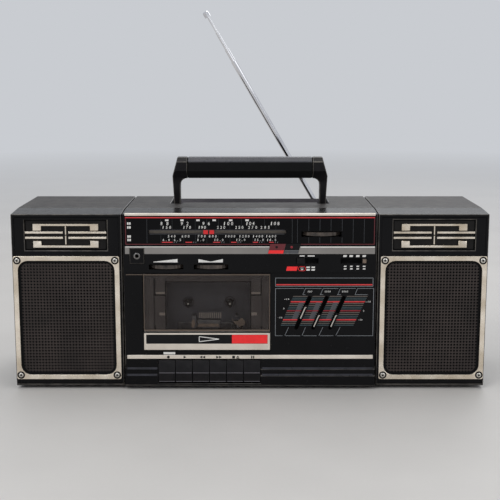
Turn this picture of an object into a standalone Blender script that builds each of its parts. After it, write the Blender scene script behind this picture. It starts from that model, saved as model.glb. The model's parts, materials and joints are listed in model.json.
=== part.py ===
"""Three-piece portable stereo: a centre unit with tuner and tape deck, and two speakers that slide off it.

Metres, +Z up, +Y to the back. The origin is on the standing surface under the middle of the machine.
Depths are counted back from the flat front face, and heights up from the underside of the cases.
"""
from math import cos, pi, radians, sin

import bmesh
import bpy
from mathutils import Matrix, Vector

# Clearances shared by the whole machine
GAP = 0.0003
RUNNING = 0.0006
OVERRUN = 0.002
WALL = 0.0025
FRONT_WALL = 0.0036

# The whole machine: what the centre unit leaves of the width is shared by the speakers
OVERALL_WIDTH = 0.476

# Centre unit: the widths and heights of its zones add up to its own
SIDE_PANEL_WIDTH = 0.0189
DOOR_WIDTH = 0.1288
EQUALIZER_WIDTH = 0.1059
FOOT_HEIGHT = 0.003
KEY_ZONE_HEIGHT = 0.0283
LOWER_BAR_HEIGHT = 0.004
LOWER_BAR_MARGIN = 0.0044
DOOR_HEIGHT = 0.0800
CONTROL_HEIGHT = 0.0201
STATUS_BAND_HEIGHT = 0.0079
DIAL_HEIGHT = 0.0293
TOP_EDGE_HEIGHT = 0.0045
CASE_DEPTH = 0.134
REAR_BULGE = 0.010
FRONT_LENGTH = 0.035
TOP_FALL = 0.002
PANEL_INSET = 0.0020

# Chin and ribs below the lower bar
CHIN_PROUD = 0.003
RIB_PROUD = 0.0015
CHIN_TOP = 0.0117
RIB_TOP = 0.0181
RIB_SLANT = 0.0015
EDGE_CHAMFER = 0.0015

# Trim bars
TOP_BAR_HEIGHT = 0.0026
TOP_BAR_DEPTH = 0.0024
BAR_PROUD = 0.0006
LOWER_BAR_DEPTH = 0.0016

# Dial panel, its pointer and the status band
DIAL_THICKNESS = 0.0018
BAND_THICKNESS = 0.0012
BAND_PROUD = 0.0004
POINTER_SLOT_RISE = 0.0123
POINTER_SLOT_HEIGHT = 0.0032
POINTER_SLOT_INSET = 0.0258
POINTER_SLOT_LENGTH = 0.1371
POINTER_WIDTH = 0.0104
POINTER_INSET = 0.0857

# Thumbwheels: each turns about an upright shaft and shows through a slot
WHEEL_THICKNESS = 0.0036
WHEEL_PROUD = 0.0020
WHEEL_FLUTE = 0.0006
WHEEL_BORE = 0.0023
FLUTES = 32
SLOT_HEIGHT = 0.0054
LEVEL_WHEEL_RADIUS = 0.020
LEVEL_SLOT_WIDTH = 0.0345
LEVEL_SLOT_DROP = 0.0133
VOLUME_INSET = 0.0428
BALANCE_INSET = 0.0878
TUNING_WHEEL_RADIUS = 0.026
TUNING_SLOT_WIDTH = 0.0399
TUNING_SLOT_RISE = 0.0118
TUNING_INSET = 0.0556

# Headphone jack
JACK_INSET = 0.0138
JACK_WIDTH = 0.0144
JACK_HEIGHT = 0.0154
JACK_TOP_MARGIN = 0.0022
JACK_BARREL = 0.004
JACK_BORE = 0.0018
JACK_LENGTH = 0.013
JACK_PROUD = 0.0008

# Slide switches
SWITCH_SLOT_HEIGHT = 0.0056
SWITCH_DROP = 0.0070
FUNCTION_INSET = 0.0694
FUNCTION_SLOT_WIDTH = 0.0223
FUNCTION_KNOB_WIDTH = 0.008
BAND_INSET = 0.0229
BAND_SLOT_WIDTH = 0.0265
BAND_KNOB_WIDTH = 0.0044
SWITCH_PROUD = 0.0016
SHOE_THICKNESS = 0.0014
SHOE_OVERLAP = 0.0024

# Equalizer sliders, in slots that lean to the right
EQUALIZER_LEAN = 23
EQUALIZER_SLOTS = 3
EQUALIZER_PITCH = 0.0172
EQUALIZER_OFFSET = 0.0034
EQUALIZER_DROP = 0.0403
EQUALIZER_SLOT_LENGTH = 0.0375
EQUALIZER_SLOT_WIDTH = 0.0038
SLIDER_WIDTH = 0.0020
SLIDER_LENGTH = 0.0144
SLIDER_PROUD = 0.0032
SLIDER_SHOE_WIDTH = 0.0090
SLIDER_POSITION_SHARES = (0.10, -0.70, -0.70)

# Cassette door, hinged at its lower edge
DOOR_GAP = 0.0006
DOOR_TRIM_HEIGHT = 0.0189
DOOR_TRIM_THICKNESS = 0.0014
DOOR_TRIM_PROUD = 0.0006
WINDOW_THICKNESS = 0.0015
CARRIER_THICKNESS = 0.0016
CARRIER_RIM = 0.0046
DOOR_HINGE_RISE = 0.0012
DOOR_HINGE_DEPTH = 0.0012
TAPE_OFFSET = 0.0018
TAPE_WIDTH = 0.1014
TAPE_HEIGHT = 0.0645
GUIDE_THICKNESS = 0.002
GUIDE_DEPTH = 0.016
SHELF_LENGTH = 0.013
CLIP_HEIGHT = 0.005
CLIP_WIDTH = 0.009

# Tape deck behind the door
DECK_DEPTH = 0.0203
DECK_THICKNESS = 0.0016
DECK_MARGIN = 0.0098
DECK_FOOT = 0.0028
BOSS_RADIUS = 0.003
BOSS_INSET = 0.0052
SPINDLE_SPACING = 0.0425
SPINDLE_DROP = 0.0330
HUB_RADIUS = 0.0032
HUB_FIN_RADIUS = 0.0048
HUB_FIN_THICKNESS = 0.0012
HUB_LENGTH = 0.0095
HUB_POINT = 0.0016
REEL_SHAFT_RADIUS = 0.0020
REEL_DISC_RADIUS = 0.013
REEL_DISC_THICKNESS = 0.0018
CAPSTAN_RADIUS = 0.0011
CAPSTAN_OFFSET = 0.0278
CAPSTAN_FALL = 0.0130
CAPSTAN_REACH = 0.0113
FLYWHEEL_RADIUS = 0.020
FLYWHEEL_THICKNESS = 0.004
FLYWHEEL_RIM = 0.003
FLYWHEEL_WEB = 0.0015
MOTOR_RADIUS = 0.016
MOTOR_LENGTH = 0.022
MOTOR_INSET = 0.0165
CARRIAGE_THICKNESS = 0.0016
CARRIAGE_TRAVEL = 0.004
CARRIAGE_WIDTH = 0.066
CARRIAGE_HEIGHT = 0.0115
HEAD_WIDTH = 0.0225
HEAD_HEIGHT = 0.0090
HEAD_DEPTH = 0.0085
TAPE_FORK_WIDTH = 0.004
TAPE_FORK_RISE = 0.0045
ROLLER_RADIUS = 0.0054
ROLLER_LENGTH = 0.0075
ROLLER_PIN_RADIUS = 0.0012
ROLLER_FALL = 0.0108

# Piano keys, hung from a shaft above and behind them
KEY_COUNT = 6
KEY_PITCH = 0.01728
KEYS_OFFSET = 0.0149
KEY_SIDE_GAP = 0.0004
KEY_PROUD = 0.004
KEY_FOOT = 0.0056
KEY_RIDGE = 0.0151
KEY_LEAN = 0.0034
KEY_THICKNESS = 0.0123
BAY_SILL = 0.0036
KEY_ARM_DEPTH = 0.0043
SHAFT_RADIUS = 0.0020
SHAFT_DEPTH = 0.012
SHAFT_RISE = 0.0050
KEY_RING_RADIUS = 0.0042
KEY_BORE = 0.0023
LUG_THICKNESS = 0.0025

# Circuit board with the parts that carry the wheels
BOARD_THICKNESS = 0.0016
BOARD_FRONT = 0.006
BOARD_DEPTH = 0.090
BOARD_SIDE_GAP = 0.0062
BOARD_RISE = 0.0014
LEDGE_WIDTH = 0.012
LEDGE_HEIGHT = 0.0020
POT_RADIUS = 0.007
POT_SHAFT_RADIUS = 0.0020
TUNER_CAPACITOR = 0.020
TUNER_CAPACITOR_HEIGHT = 0.026

# Handle with its trough in the top
HANDLE_HALF_SPAN = 0.0798
LEG_WIDTH = 0.0064
LEG_DEPTH = 0.012
LEG_SPREAD = 0.0015
LEG_TOP_DROP = 0.0273
SHOULDER_SPREAD = 0.0019
SHOULDER_DROP = 0.0198
CORNER_SLANT = 0.0044
CORNER_EDGE = 0.0009
GRIP_HALF_LENGTH = 0.0656
GRIP_HEIGHT = 0.022
GRIP_DEPTH = 0.019
GRIP_TOP_CHAMFER = 0.0045
GRIP_CREASE = 0.0077
GRIP_FOOT_SLANT = 0.003
CORE_BAR_DEPTH = 0.008
CORE_BAR_MARGIN = 0.0055
INNER_CORNER = 0.0074
HANDLE_REACH = 0.0543
HANDLE_SINK = 0.0055
PIVOT_RADIUS = 0.003
FOLD_CLEARANCE = 0.0007
TROUGH_SIDE_GAP = 0.0042
TROUGH_FLOOR_GAP = 0.0013
TROUGH_LIP = 0.003
LIP_DROP = 0.0027
POCKET_WIDTH = 0.0128
POCKET_FRONT = 0.008

# Telescopic aerial on the step behind the top
STEP_DROP = 0.0215
AERIAL_INSET = 0.0483
AERIAL_LEAN = 30.4
AERIAL_PIVOT_RISE = 0.0054
POST_RADIUS = 0.0036
POST_HEIGHT = 0.0013
POST_PEG_RADIUS = 0.0020
POST_PEG_LENGTH = 0.0026
CHEEK_THICKNESS = 0.0010
CHEEK_RADIUS = 0.0029
EYE_THICKNESS = 0.0026
EYE_RADIUS = 0.0028
PIN_RADIUS = 0.0010
TUBE_START = 0.0040
TUBE_LENGTH = 0.1867
TUBE_RADII = (0.0030, 0.0024, 0.0018, 0.0012)
TUBE_WALL = 0.0003
TUBE_EXPOSED = (0.0148, 0.0213, 0.0189)
TUBE_HIDDEN = (0.150, 0.140, 0.130)
TIP_RADIUS = 0.0033
TIP_LENGTH = 0.0065

# Battery compartment in the back
BATTERY_WIDTH = 0.140
BATTERY_HEIGHT = 0.071
BATTERY_DEPTH = 0.036
BATTERY_OFFSET = 0.0400
BATTERY_FOOT = 0.0125
BATTERY_WALL = 0.002
LID_MARGIN = 0.003
LID_THICKNESS = 0.002
LID_GAP = 0.0006
LID_RIB = 0.0008
LID_RIBS = 5

# Mains inlet in the back
INLET_WIDTH = 0.018
INLET_HEIGHT = 0.0115
INLET_DEPTH = 0.016
INLET_INSET = 0.030
INLET_RISE = 0.060
INLET_WALL = 0.0015
INLET_PIN_RADIUS = 0.0011
INLET_PIN_SPACING = 0.0085

# Feet
FOOT_RADIUS = 0.008
FOOT_CHAMFER = 0.0008
FOOT_INSET = 0.0198
FRONT_FOOT_BACK = 0.014
REAR_FOOT_BACK = 0.122

# Speakers
SIDE_GAP = 0.0012
RIM_WIDTH = 0.003
RIM_GROOVE = 0.0005
TWEETER_TOP = 0.0076
TWEETER_HEIGHT = 0.0309
TWEETER_SIDE = 0.0140
TWEETER_OFFSET = 0.0006
TWEETER_DEPTH = 0.0024
TWEETER_PLATE = 0.0012
BRACKET_PROUD = 0.0004
BRACKET_INSET = 0.0081
BRACKET_TOP = 0.0038
BRACKET_FOOT = 0.0026
BRACKET_END = 0.0082
BRACKET_DROP = 0.0047
BAR_THICKNESS = 0.0020
BAR_SPACING = 0.0053
BAR_BREAK = 0.0056
UPRIGHT_WIDTH = 0.0012
UPRIGHT_BREAK = 0.0012
UPRIGHT_REACH = 0.0092
FRAME_SIDE = 0.0009
FRAME_INNER_SIDE = 0.0028
FRAME_TOP_GAP = 0.0057
FRAME_FOOT = 0.0074
FRAME_BORDER = 0.0047
FRAME_PROUD = 0.0012
FRAME_CORNER = 0.0015
FRAME_OPENING_CORNER = 0.010
GRILLE_THICKNESS = 0.0008
GRILLE_POCKET = 0.0022
WOOFER_RADIUS = 0.046
WOOFER_FLANGE = 0.004
WOOFER_LENGTH = 0.034
MAGNET_RADIUS = 0.029
MAGNET_LENGTH = 0.014
DRIVER_RADIUS = 0.011
DRIVER_LENGTH = 0.018

# T-shaped rails on which the speakers hang
RAIL_HEIGHT_SHARES = (0.32, 0.71)
RAIL_START = 0.010
RAIL_LENGTH = 0.085
RAIL_NECK = 0.004
RAIL_HEAD = 0.008
RAIL_HEAD_THICKNESS = 0.0027
RAIL_WALL = 0.002
TERMINAL_WIDTH = 0.030
TERMINAL_HEIGHT = 0.018
TERMINAL_DEPTH = 0.006
TERMINAL_RISE = 0.050

# Facets
FINE_SIDES = 24
ROUND_SIDES = 16
SMALL_SIDES = 12
ARC_STEPS = 5
SMOOTH_ANGLE = 40

# Levels and planes of the centre unit
BASE_Z = FOOT_HEIGHT
LOWER_BAR_Z = BASE_Z + KEY_ZONE_HEIGHT
DOOR_Z = LOWER_BAR_Z + LOWER_BAR_HEIGHT + LOWER_BAR_MARGIN
DOOR_TOP_Z = DOOR_Z + DOOR_HEIGHT
BAND_Z = DOOR_TOP_Z + CONTROL_HEIGHT
DIAL_Z = BAND_Z + STATUS_BAND_HEIGHT + GAP
DIAL_TOP_Z = DIAL_Z + DIAL_HEIGHT
TOP_Z = DIAL_TOP_Z + TOP_EDGE_HEIGHT
EDGE_Z = TOP_Z - TOP_FALL
BODY_DEPTH = CASE_DEPTH + REAR_BULGE
FACE_Y = -(BODY_DEPTH - KEY_PROUD) / 2
SEAM_Y = FACE_Y + FRONT_LENGTH
REAR_Y = FACE_Y + CASE_DEPTH
BULGE_Y = FACE_Y + BODY_DEPTH
INSIDE_Y = FACE_Y + FRONT_WALL
HALF_WIDTH = (SIDE_PANEL_WIDTH + DOOR_WIDTH + EQUALIZER_WIDTH) / 2
SPEAKER_INNER = HALF_WIDTH + SIDE_GAP
SPEAKER_OUTER = OVERALL_WIDTH / 2
DOOR_LEFT = SIDE_PANEL_WIDTH - HALF_WIDTH
DOOR_RIGHT = DOOR_LEFT + DOOR_WIDTH
PANEL_HALF = HALF_WIDTH - PANEL_INSET

# Places that several pieces share
TUNING_X = HALF_WIDTH - TUNING_INSET
TUNING_Z = DIAL_Z + TUNING_SLOT_RISE
VOLUME_X = VOLUME_INSET - HALF_WIDTH
BALANCE_X = BALANCE_INSET - HALF_WIDTH
LEVEL_Z = BAND_Z - LEVEL_SLOT_DROP
LEVEL_WHEEL_Y = FACE_Y - WHEEL_PROUD + LEVEL_WHEEL_RADIUS
TUNING_WHEEL_Y = FACE_Y - WHEEL_PROUD + TUNING_WHEEL_RADIUS
FUNCTION_X = HALF_WIDTH - FUNCTION_INSET
BAND_SWITCH_X = HALF_WIDTH - BAND_INSET
SWITCH_Z = BAND_Z - SWITCH_DROP
JACK_X = JACK_INSET - HALF_WIDTH
JACK_TOP_Z = BAND_Z + STATUS_BAND_HEIGHT - JACK_TOP_MARGIN
JACK_Z = JACK_TOP_Z - JACK_HEIGHT / 2
POINTER_Z = DIAL_Z + POINTER_SLOT_RISE + POINTER_SLOT_HEIGHT / 2
POINTER_SLOT_X = POINTER_SLOT_INSET - HALF_WIDTH
EQUALIZER_X = (DOOR_RIGHT + HALF_WIDTH) / 2 - EQUALIZER_OFFSET
EQUALIZER_Z = DOOR_TOP_Z - EQUALIZER_DROP
TAPE_X = (DOOR_LEFT + DOOR_RIGHT) / 2 + TAPE_OFFSET
SPINDLE_Z = DOOR_TOP_Z - SPINDLE_DROP
DECK_Y = FACE_Y + DECK_DEPTH
DECK_BACK_Y = DECK_Y + DECK_THICKNESS
DOOR_HINGE_Y = FACE_Y + DOOR_HINGE_DEPTH
DOOR_HINGE_Z = DOOR_Z + DOOR_HINGE_RISE + DOOR_GAP * 2
KEYS_X = DOOR_LEFT + KEYS_OFFSET
SHAFT_Y = FACE_Y + SHAFT_DEPTH
SHAFT_Z = DOOR_Z + SHAFT_RISE
BOARD_Z = DOOR_TOP_Z + BOARD_RISE
BOARD_TOP_Z = BOARD_Z + BOARD_THICKNESS
HANDLE_Y = REAR_Y - TROUGH_LIP - FOLD_CLEARANCE - HANDLE_REACH
HANDLE_Z = TOP_Z - HANDLE_SINK
TROUGH_HALF = HANDLE_HALF_SPAN + TROUGH_SIDE_GAP
TROUGH_Z = HANDLE_Z - GRIP_DEPTH / 2 - TROUGH_FLOOR_GAP
STEP_Z = TOP_Z - STEP_DROP
AERIAL_X = HALF_WIDTH - AERIAL_INSET
AERIAL_Y = (REAR_Y + BULGE_Y) / 2
AERIAL_Z = STEP_Z + AERIAL_PIVOT_RISE
BATTERY_Z = BASE_Z + BATTERY_FOOT
BATTERY_BACK_Y = BULGE_Y - LID_THICKNESS - LID_GAP
BATTERY_FRONT_Y = BATTERY_BACK_Y - BATTERY_DEPTH
TWEETER_Z = TOP_Z - TWEETER_TOP - TWEETER_HEIGHT
FRAME_Z = BASE_Z + FRAME_FOOT
FRAME_TOP_Z = TWEETER_Z - FRAME_TOP_GAP
RAIL_Y = SEAM_Y + RAIL_START
RAIL_ZS = [BASE_Z + (TOP_Z - BASE_Z) * share for share in RAIL_HEIGHT_SHARES]

# Colours of the real surfaces, linear
BLACK = (0.012, 0.012, 0.014)
GLOSS_BLACK = (0.006, 0.006, 0.008)
DARK_GREY = (0.05, 0.05, 0.052)
SILVER = (0.70, 0.68, 0.64)
STEEL = (0.45, 0.45, 0.46)
BAND_GREY = (0.26, 0.25, 0.25)
RED = (0.75, 0.03, 0.03)
SMOKE = (0.05, 0.04, 0.035)
RUBBER = (0.02, 0.02, 0.02)
PAPER = (0.03, 0.03, 0.03)
BOARD_BROWN = (0.22, 0.12, 0.04)


def remove_old_objects():
    for old in list(bpy.data.objects):
        bpy.data.objects.remove(old, do_unlink=True)


def new_collection(name):
    collection = bpy.data.collections.new(name)
    bpy.context.scene.collection.children.link(collection)
    return collection


remove_old_objects()
PARTS = new_collection("boombox")
TOOLS = new_collection("cutters_and_guides")


def new_object(name, mesh, part=False):
    thing = bpy.data.objects.new(name, mesh)
    home = PARTS if part else TOOLS
    home.objects.link(thing)
    if not part:
        thing.hide_render = True
        thing.display_type = 'WIRE'
    return thing


def smooth(mesh):
    mesh.shade_smooth()
    mesh.set_sharp_from_angle(angle=radians(SMOOTH_ANGLE))


def finish(piece, colour, roughness, metallic=0.0, alpha=1.0):
    """Give a piece a material of its own, named after it."""
    material = bpy.data.materials.new(piece.name + "_finish")
    material.use_nodes = True
    shader = material.node_tree.nodes["Principled BSDF"]
    shader.inputs["Base Color"].default_value = (*colour, 1.0)
    shader.inputs["Roughness"].default_value = roughness
    shader.inputs["Metallic"].default_value = metallic
    shader.inputs["Alpha"].default_value = alpha
    piece.data.materials.clear()
    piece.data.materials.append(material)
    return piece


def black_abs(piece):
    return finish(piece, BLACK, 0.45)


def gloss_black(piece):
    return finish(piece, GLOSS_BLACK, 0.12)


def satin_silver(piece):
    return finish(piece, SILVER, 0.35, 0.8)


def chromed(piece):
    return finish(piece, SILVER, 0.08, 1.0)


def plain_steel(piece):
    return finish(piece, STEEL, 0.35, 1.0)


def blocks(name, boxes, part=False):
    """Rectangular blocks given as (x span, y span, z span), all in one mesh."""
    form = bmesh.new()
    for spans in boxes:
        made = bmesh.ops.create_cube(form, size=1)
        size = Vector([high - low for low, high in spans])
        middle = Vector([(high + low) / 2 for low, high in spans])
        bmesh.ops.scale(form, vec=size, verts=made["verts"])
        bmesh.ops.translate(form, vec=middle, verts=made["verts"])
    mesh = bpy.data.meshes.new(name)
    form.to_mesh(mesh)
    form.free()
    return new_object(name, mesh, part)


def block(name, xs, ys, zs, part=False):
    return blocks(name, [(xs, ys, zs)], part)


def around(middle, size):
    return (middle - size / 2, middle + size / 2)


def mirrored(side, near, far):
    """The span between two distances from the middle, on the left (-1) or right (1)."""
    return tuple(sorted((side * near, side * far)))


def arc(centre, radius, start, end, steps=ARC_STEPS):
    """Points of a round stretch, from start to end in degrees."""
    turns = [radians(start + (end - start) * step / steps) for step in range(steps + 1)]
    return [(centre[0] + radius * cos(turn), centre[1] + radius * sin(turn)) for turn in turns]


def circle(centre, radius, sides):
    return arc(centre, radius, 0, 360, sides)[:-1]


def rounded_rectangle(xs, ys, radius, steps=ARC_STEPS):
    low_x, high_x = xs[0] + radius, xs[1] - radius
    low_y, high_y = ys[0] + radius, ys[1] - radius
    outline = arc((high_x, low_y), radius, -90, 0, steps)
    outline += arc((high_x, high_y), radius, 0, 90, steps)
    outline += arc((low_x, high_y), radius, 90, 180, steps)
    outline += arc((low_x, low_y), radius, 180, 270, steps)
    return outline


def rectangle(xs, ys):
    return [(xs[0], ys[0]), (xs[1], ys[0]), (xs[1], ys[1]), (xs[0], ys[1])]


PLANE_AXES = {
    "XY": ((1, 0, 0), (0, 1, 0), (0, 0, 1)),
    "XZ": ((1, 0, 0), (0, 0, 1), (0, -1, 0)),
    "YZ": ((0, 1, 0), (0, 0, 1), (1, 0, 0)),
}
AXIS_TURNS = {
    "X": Matrix.Rotation(pi / 2, 4, 'Y'),
    "Y": Matrix.Rotation(-pi / 2, 4, 'X'),
    "Z": Matrix.Identity(4),
}


def prism(name, outlines, plane, span, part=False, rounded=False):
    """Outlines drawn in a plane, holes after the edge, extruded over a span of the third axis."""
    curve = bpy.data.curves.new(name, 'CURVE')
    curve.dimensions = '2D'
    curve.fill_mode = 'BOTH'
    curve.extrude = (span[1] - span[0]) / 2
    for outline in outlines:
        spline = curve.splines.new('POLY')
        spline.points.add(len(outline) - 1)
        for point, place in zip(spline.points, outline):
            point.co = (place[0], place[1], 0, 1)
        spline.use_cyclic_u = True
    drawing = bpy.data.objects.new(name + "_outline", curve)
    bpy.context.scene.collection.objects.link(drawing)
    evaluated = drawing.evaluated_get(bpy.context.evaluated_depsgraph_get())
    mesh = bpy.data.meshes.new_from_object(evaluated)
    bpy.data.objects.remove(drawing, do_unlink=True)
    across, up, normal = (Vector(axis) for axis in PLANE_AXES[plane])
    turn = Matrix((across, up, normal)).transposed().to_4x4()
    depth_axis = Vector([abs(value) for value in normal])
    shift = Matrix.Translation(depth_axis * (span[0] + span[1]) / 2)
    form = bmesh.new()
    form.from_mesh(mesh)
    bmesh.ops.remove_doubles(form, verts=form.verts, dist=GAP / 100)
    bmesh.ops.recalc_face_normals(form, faces=form.faces)
    form.transform(shift @ turn)
    form.to_mesh(mesh)
    form.free()
    mesh.name = name
    if rounded:
        smooth(mesh)
    else:
        mesh.shade_flat()
    return new_object(name, mesh, part)


def rod(name, axis, start, length, radius, sides=ROUND_SIDES, part=False):
    """A cylinder that runs from a point along +X, +Y or +Z."""
    form = bmesh.new()
    bmesh.ops.create_cone(form, cap_ends=True, segments=sides, radius1=radius, radius2=radius, depth=length)
    turn = AXIS_TURNS[axis]
    middle = Vector(start) + turn @ Vector((0, 0, length / 2))
    form.transform(Matrix.Translation(middle) @ turn)
    mesh = bpy.data.meshes.new(name)
    form.to_mesh(mesh)
    form.free()
    smooth(mesh)
    return new_object(name, mesh, part)


def turned(name, profile, axis, centre, steps, ring=False, part=False):
    """A profile of (radius, height) points turned about an axis through centre."""
    points = [(radius, 0, height) for radius, height in profile]
    edges = [(index, index + 1) for index in range(len(points) - 1)]
    if ring:
        edges.append((len(points) - 1, 0))
    mesh = bpy.data.meshes.new(name)
    mesh.from_pydata(points, edges, [])
    thing = new_object(name, mesh, part)
    thing.matrix_world = Matrix.Translation(centre) @ AXIS_TURNS[axis]
    screw = thing.modifiers.new("turn", 'SCREW')
    screw.steps = steps
    screw.render_steps = steps
    screw.use_merge_vertices = True
    screw.merge_threshold = GAP / 10
    screw.use_smooth_shade = True
    return thing


def combine(piece, others, operation):
    for other in others:
        change = piece.modifiers.new(other.name, 'BOOLEAN')
        change.operation = operation
        change.solver = 'EXACT'
        change.object = other
    return piece


def cut(piece, *cutters):
    return combine(piece, cutters, 'DIFFERENCE')


def join(piece, *additions):
    return combine(piece, additions, 'UNION')


def soften(piece, width, segments=1):
    bevel = piece.modifiers.new("edges", 'BEVEL')
    bevel.width = width
    bevel.segments = segments
    bevel.limit_method = 'ANGLE'
    bevel.angle_limit = radians(SMOOTH_ANGLE)
    return piece


def set_pivot(piece, pivot):
    """Move a piece's origin to its joint and leave its shape where it is."""
    piece.data.transform(Matrix.Translation(-Vector(pivot)))
    piece.location = pivot
    return piece


# Cases


def case_profile(front, back):
    """Side outline of the front case: stepped chin, flat face, top that falls forward."""
    chin = FACE_Y - CHIN_PROUD
    rib = FACE_Y - RIB_PROUD
    return [
        (back, BASE_Z),
        (chin + EDGE_CHAMFER, BASE_Z),
        (chin, BASE_Z + EDGE_CHAMFER),
        (chin, BASE_Z + CHIN_TOP),
        (rib, BASE_Z + CHIN_TOP + RIB_SLANT),
        (rib, BASE_Z + RIB_TOP),
        (front, BASE_Z + RIB_TOP + RIB_SLANT),
        (front, EDGE_Z),
        (back, TOP_Z),
    ]


def door_opening(name):
    return block(
        name,
        (DOOR_LEFT, DOOR_RIGHT),
        (FACE_Y - OVERRUN, INSIDE_Y + OVERRUN),
        (DOOR_Z, DOOR_TOP_Z),
    )


def key_bay():
    width = KEY_COUNT * KEY_PITCH + KEY_SIDE_GAP
    return block(
        "key_bay",
        (KEYS_X - KEY_SIDE_GAP / 2, KEYS_X + width - KEY_SIDE_GAP / 2),
        (FACE_Y - CHIN_PROUD - OVERRUN, INSIDE_Y + OVERRUN),
        (BASE_Z + BAY_SILL, LOWER_BAR_Z - GAP),
    )


def wheel_slot(name, middle, level, width):
    return block(
        name,
        around(middle, width),
        (FACE_Y - OVERRUN, INSIDE_Y + OVERRUN),
        around(level, SLOT_HEIGHT),
    )


def switch_slot(name, middle, width):
    return block(
        name,
        around(middle, width),
        (FACE_Y - OVERRUN, INSIDE_Y + OVERRUN),
        around(SWITCH_Z, SWITCH_SLOT_HEIGHT),
    )


def pointer_slot(name):
    return block(
        name,
        (POINTER_SLOT_X, POINTER_SLOT_X + POINTER_SLOT_LENGTH),
        (FACE_Y - OVERRUN, INSIDE_Y + OVERRUN),
        around(POINTER_Z, POINTER_SLOT_HEIGHT),
    )


def equalizer_slot(index):
    """A slot with round ends, leaning to the right, with its middle on the slider's travel."""
    radius = EQUALIZER_SLOT_WIDTH / 2
    half = EQUALIZER_SLOT_LENGTH / 2
    outline = rounded_rectangle((-radius, radius), (-half, half), radius - GAP / 10, ARC_STEPS - 1)
    slot = prism("equalizer_slot_%d" % (index + 1), [outline], "XZ", (-OVERRUN, FRONT_WALL + OVERRUN))
    middle = equalizer_middle(index)
    slot.matrix_world = Matrix.Translation(middle) @ Matrix.Rotation(radians(EQUALIZER_LEAN), 4, 'Y')
    return slot


def equalizer_middle(index):
    along = (index - (EQUALIZER_SLOTS - 1) / 2) * EQUALIZER_PITCH
    return Vector((EQUALIZER_X + along, FACE_Y, EQUALIZER_Z))


def deck_bosses():
    """Where the deck plate is screwed on, beside the door."""
    left = DOOR_LEFT - BOSS_INSET
    right = DOOR_RIGHT + BOSS_INSET
    low = DOOR_Z + BOSS_INSET
    high = DOOR_TOP_Z - BOSS_INSET * 2
    return [(x, z) for x in (left, right) for z in (low, high)]


def front_cabinet():
    outside = case_profile(FACE_Y, SEAM_Y)
    piece = prism("front_cabinet", [outside], "YZ", (-HALF_WIDTH, HALF_WIDTH), part=True)
    inside = [
        (SEAM_Y + OVERRUN, BASE_Z + WALL),
        (FACE_Y - CHIN_PROUD + FRONT_WALL, BASE_Z + WALL),
        (FACE_Y - CHIN_PROUD + FRONT_WALL, BASE_Z + CHIN_TOP - WALL),
        (INSIDE_Y, BASE_Z + RIB_TOP),
        (INSIDE_Y, EDGE_Z - WALL),
        (SEAM_Y + OVERRUN, TOP_Z - WALL),
    ]
    hollow = prism("front_hollow", [inside], "YZ", (WALL - HALF_WIDTH, HALF_WIDTH - WALL))
    cut(piece, hollow)
    for index, (x, z) in enumerate(deck_bosses()):
        length = DECK_DEPTH - FRONT_WALL - GAP + OVERRUN
        start = (x, INSIDE_Y - OVERRUN, z)
        join(piece, rod("deck_boss_%d" % index, "Y", start, length, BOSS_RADIUS, SMALL_SIDES))
    for side in (-1, 1):
        ledge = block(
            "board_ledge_%d" % side,
            mirrored(side, HALF_WIDTH - WALL - LEDGE_WIDTH, HALF_WIDTH - WALL / 2),
            (INSIDE_Y - WALL / 2, SEAM_Y - GAP),
            (BOARD_Z - GAP - LEDGE_HEIGHT, BOARD_Z - GAP),
        )
        join(piece, ledge)
    dial_pocket = block(
        "dial_pocket",
        (-PANEL_HALF - GAP, PANEL_HALF + GAP),
        (FACE_Y - OVERRUN, FACE_Y + DIAL_THICKNESS + GAP),
        (DIAL_Z - GAP, DIAL_TOP_Z + GAP),
    )
    band_pocket = block(
        "band_pocket",
        (-PANEL_HALF - GAP, PANEL_HALF + GAP),
        (FACE_Y - OVERRUN, FACE_Y + BAND_THICKNESS - BAND_PROUD + GAP),
        (BAND_Z - GAP, BAND_Z + STATUS_BAND_HEIGHT + OVERRUN / 2),
    )
    top_rebate = block(
        "top_rebate",
        (-PANEL_HALF - GAP, PANEL_HALF + GAP),
        (FACE_Y - OVERRUN, FACE_Y + TOP_BAR_DEPTH - BAR_PROUD + GAP),
        (DIAL_TOP_Z + GAP * 2, TOP_Z + OVERRUN),
    )
    lower_rebate = block(
        "lower_rebate",
        (-PANEL_HALF - GAP, PANEL_HALF + GAP),
        (FACE_Y - OVERRUN, FACE_Y + LOWER_BAR_DEPTH - BAR_PROUD + GAP),
        (LOWER_BAR_Z, LOWER_BAR_Z + LOWER_BAR_HEIGHT + GAP * 2),
    )
    jack_hole = block(
        "jack_hole",
        around(JACK_X, JACK_WIDTH + GAP * 2),
        (FACE_Y - OVERRUN, INSIDE_Y + OVERRUN),
        around(JACK_Z, JACK_HEIGHT + GAP * 2),
    )
    cut(piece, dial_pocket, band_pocket, top_rebate, lower_rebate, jack_hole)
    cut(piece, door_opening("door_opening"), key_bay(), pointer_slot("pointer_way"))
    cut(piece, wheel_slot("tuning_way", TUNING_X, TUNING_Z, TUNING_SLOT_WIDTH))
    cut(piece, wheel_slot("volume_way", VOLUME_X, LEVEL_Z, LEVEL_SLOT_WIDTH))
    cut(piece, wheel_slot("balance_way", BALANCE_X, LEVEL_Z, LEVEL_SLOT_WIDTH))
    cut(piece, switch_slot("function_way", FUNCTION_X, FUNCTION_SLOT_WIDTH))
    cut(piece, switch_slot("band_way", BAND_SWITCH_X, BAND_SLOT_WIDTH))
    for index in range(EQUALIZER_SLOTS):
        cut(piece, equalizer_slot(index))
    return black_abs(piece)


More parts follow.
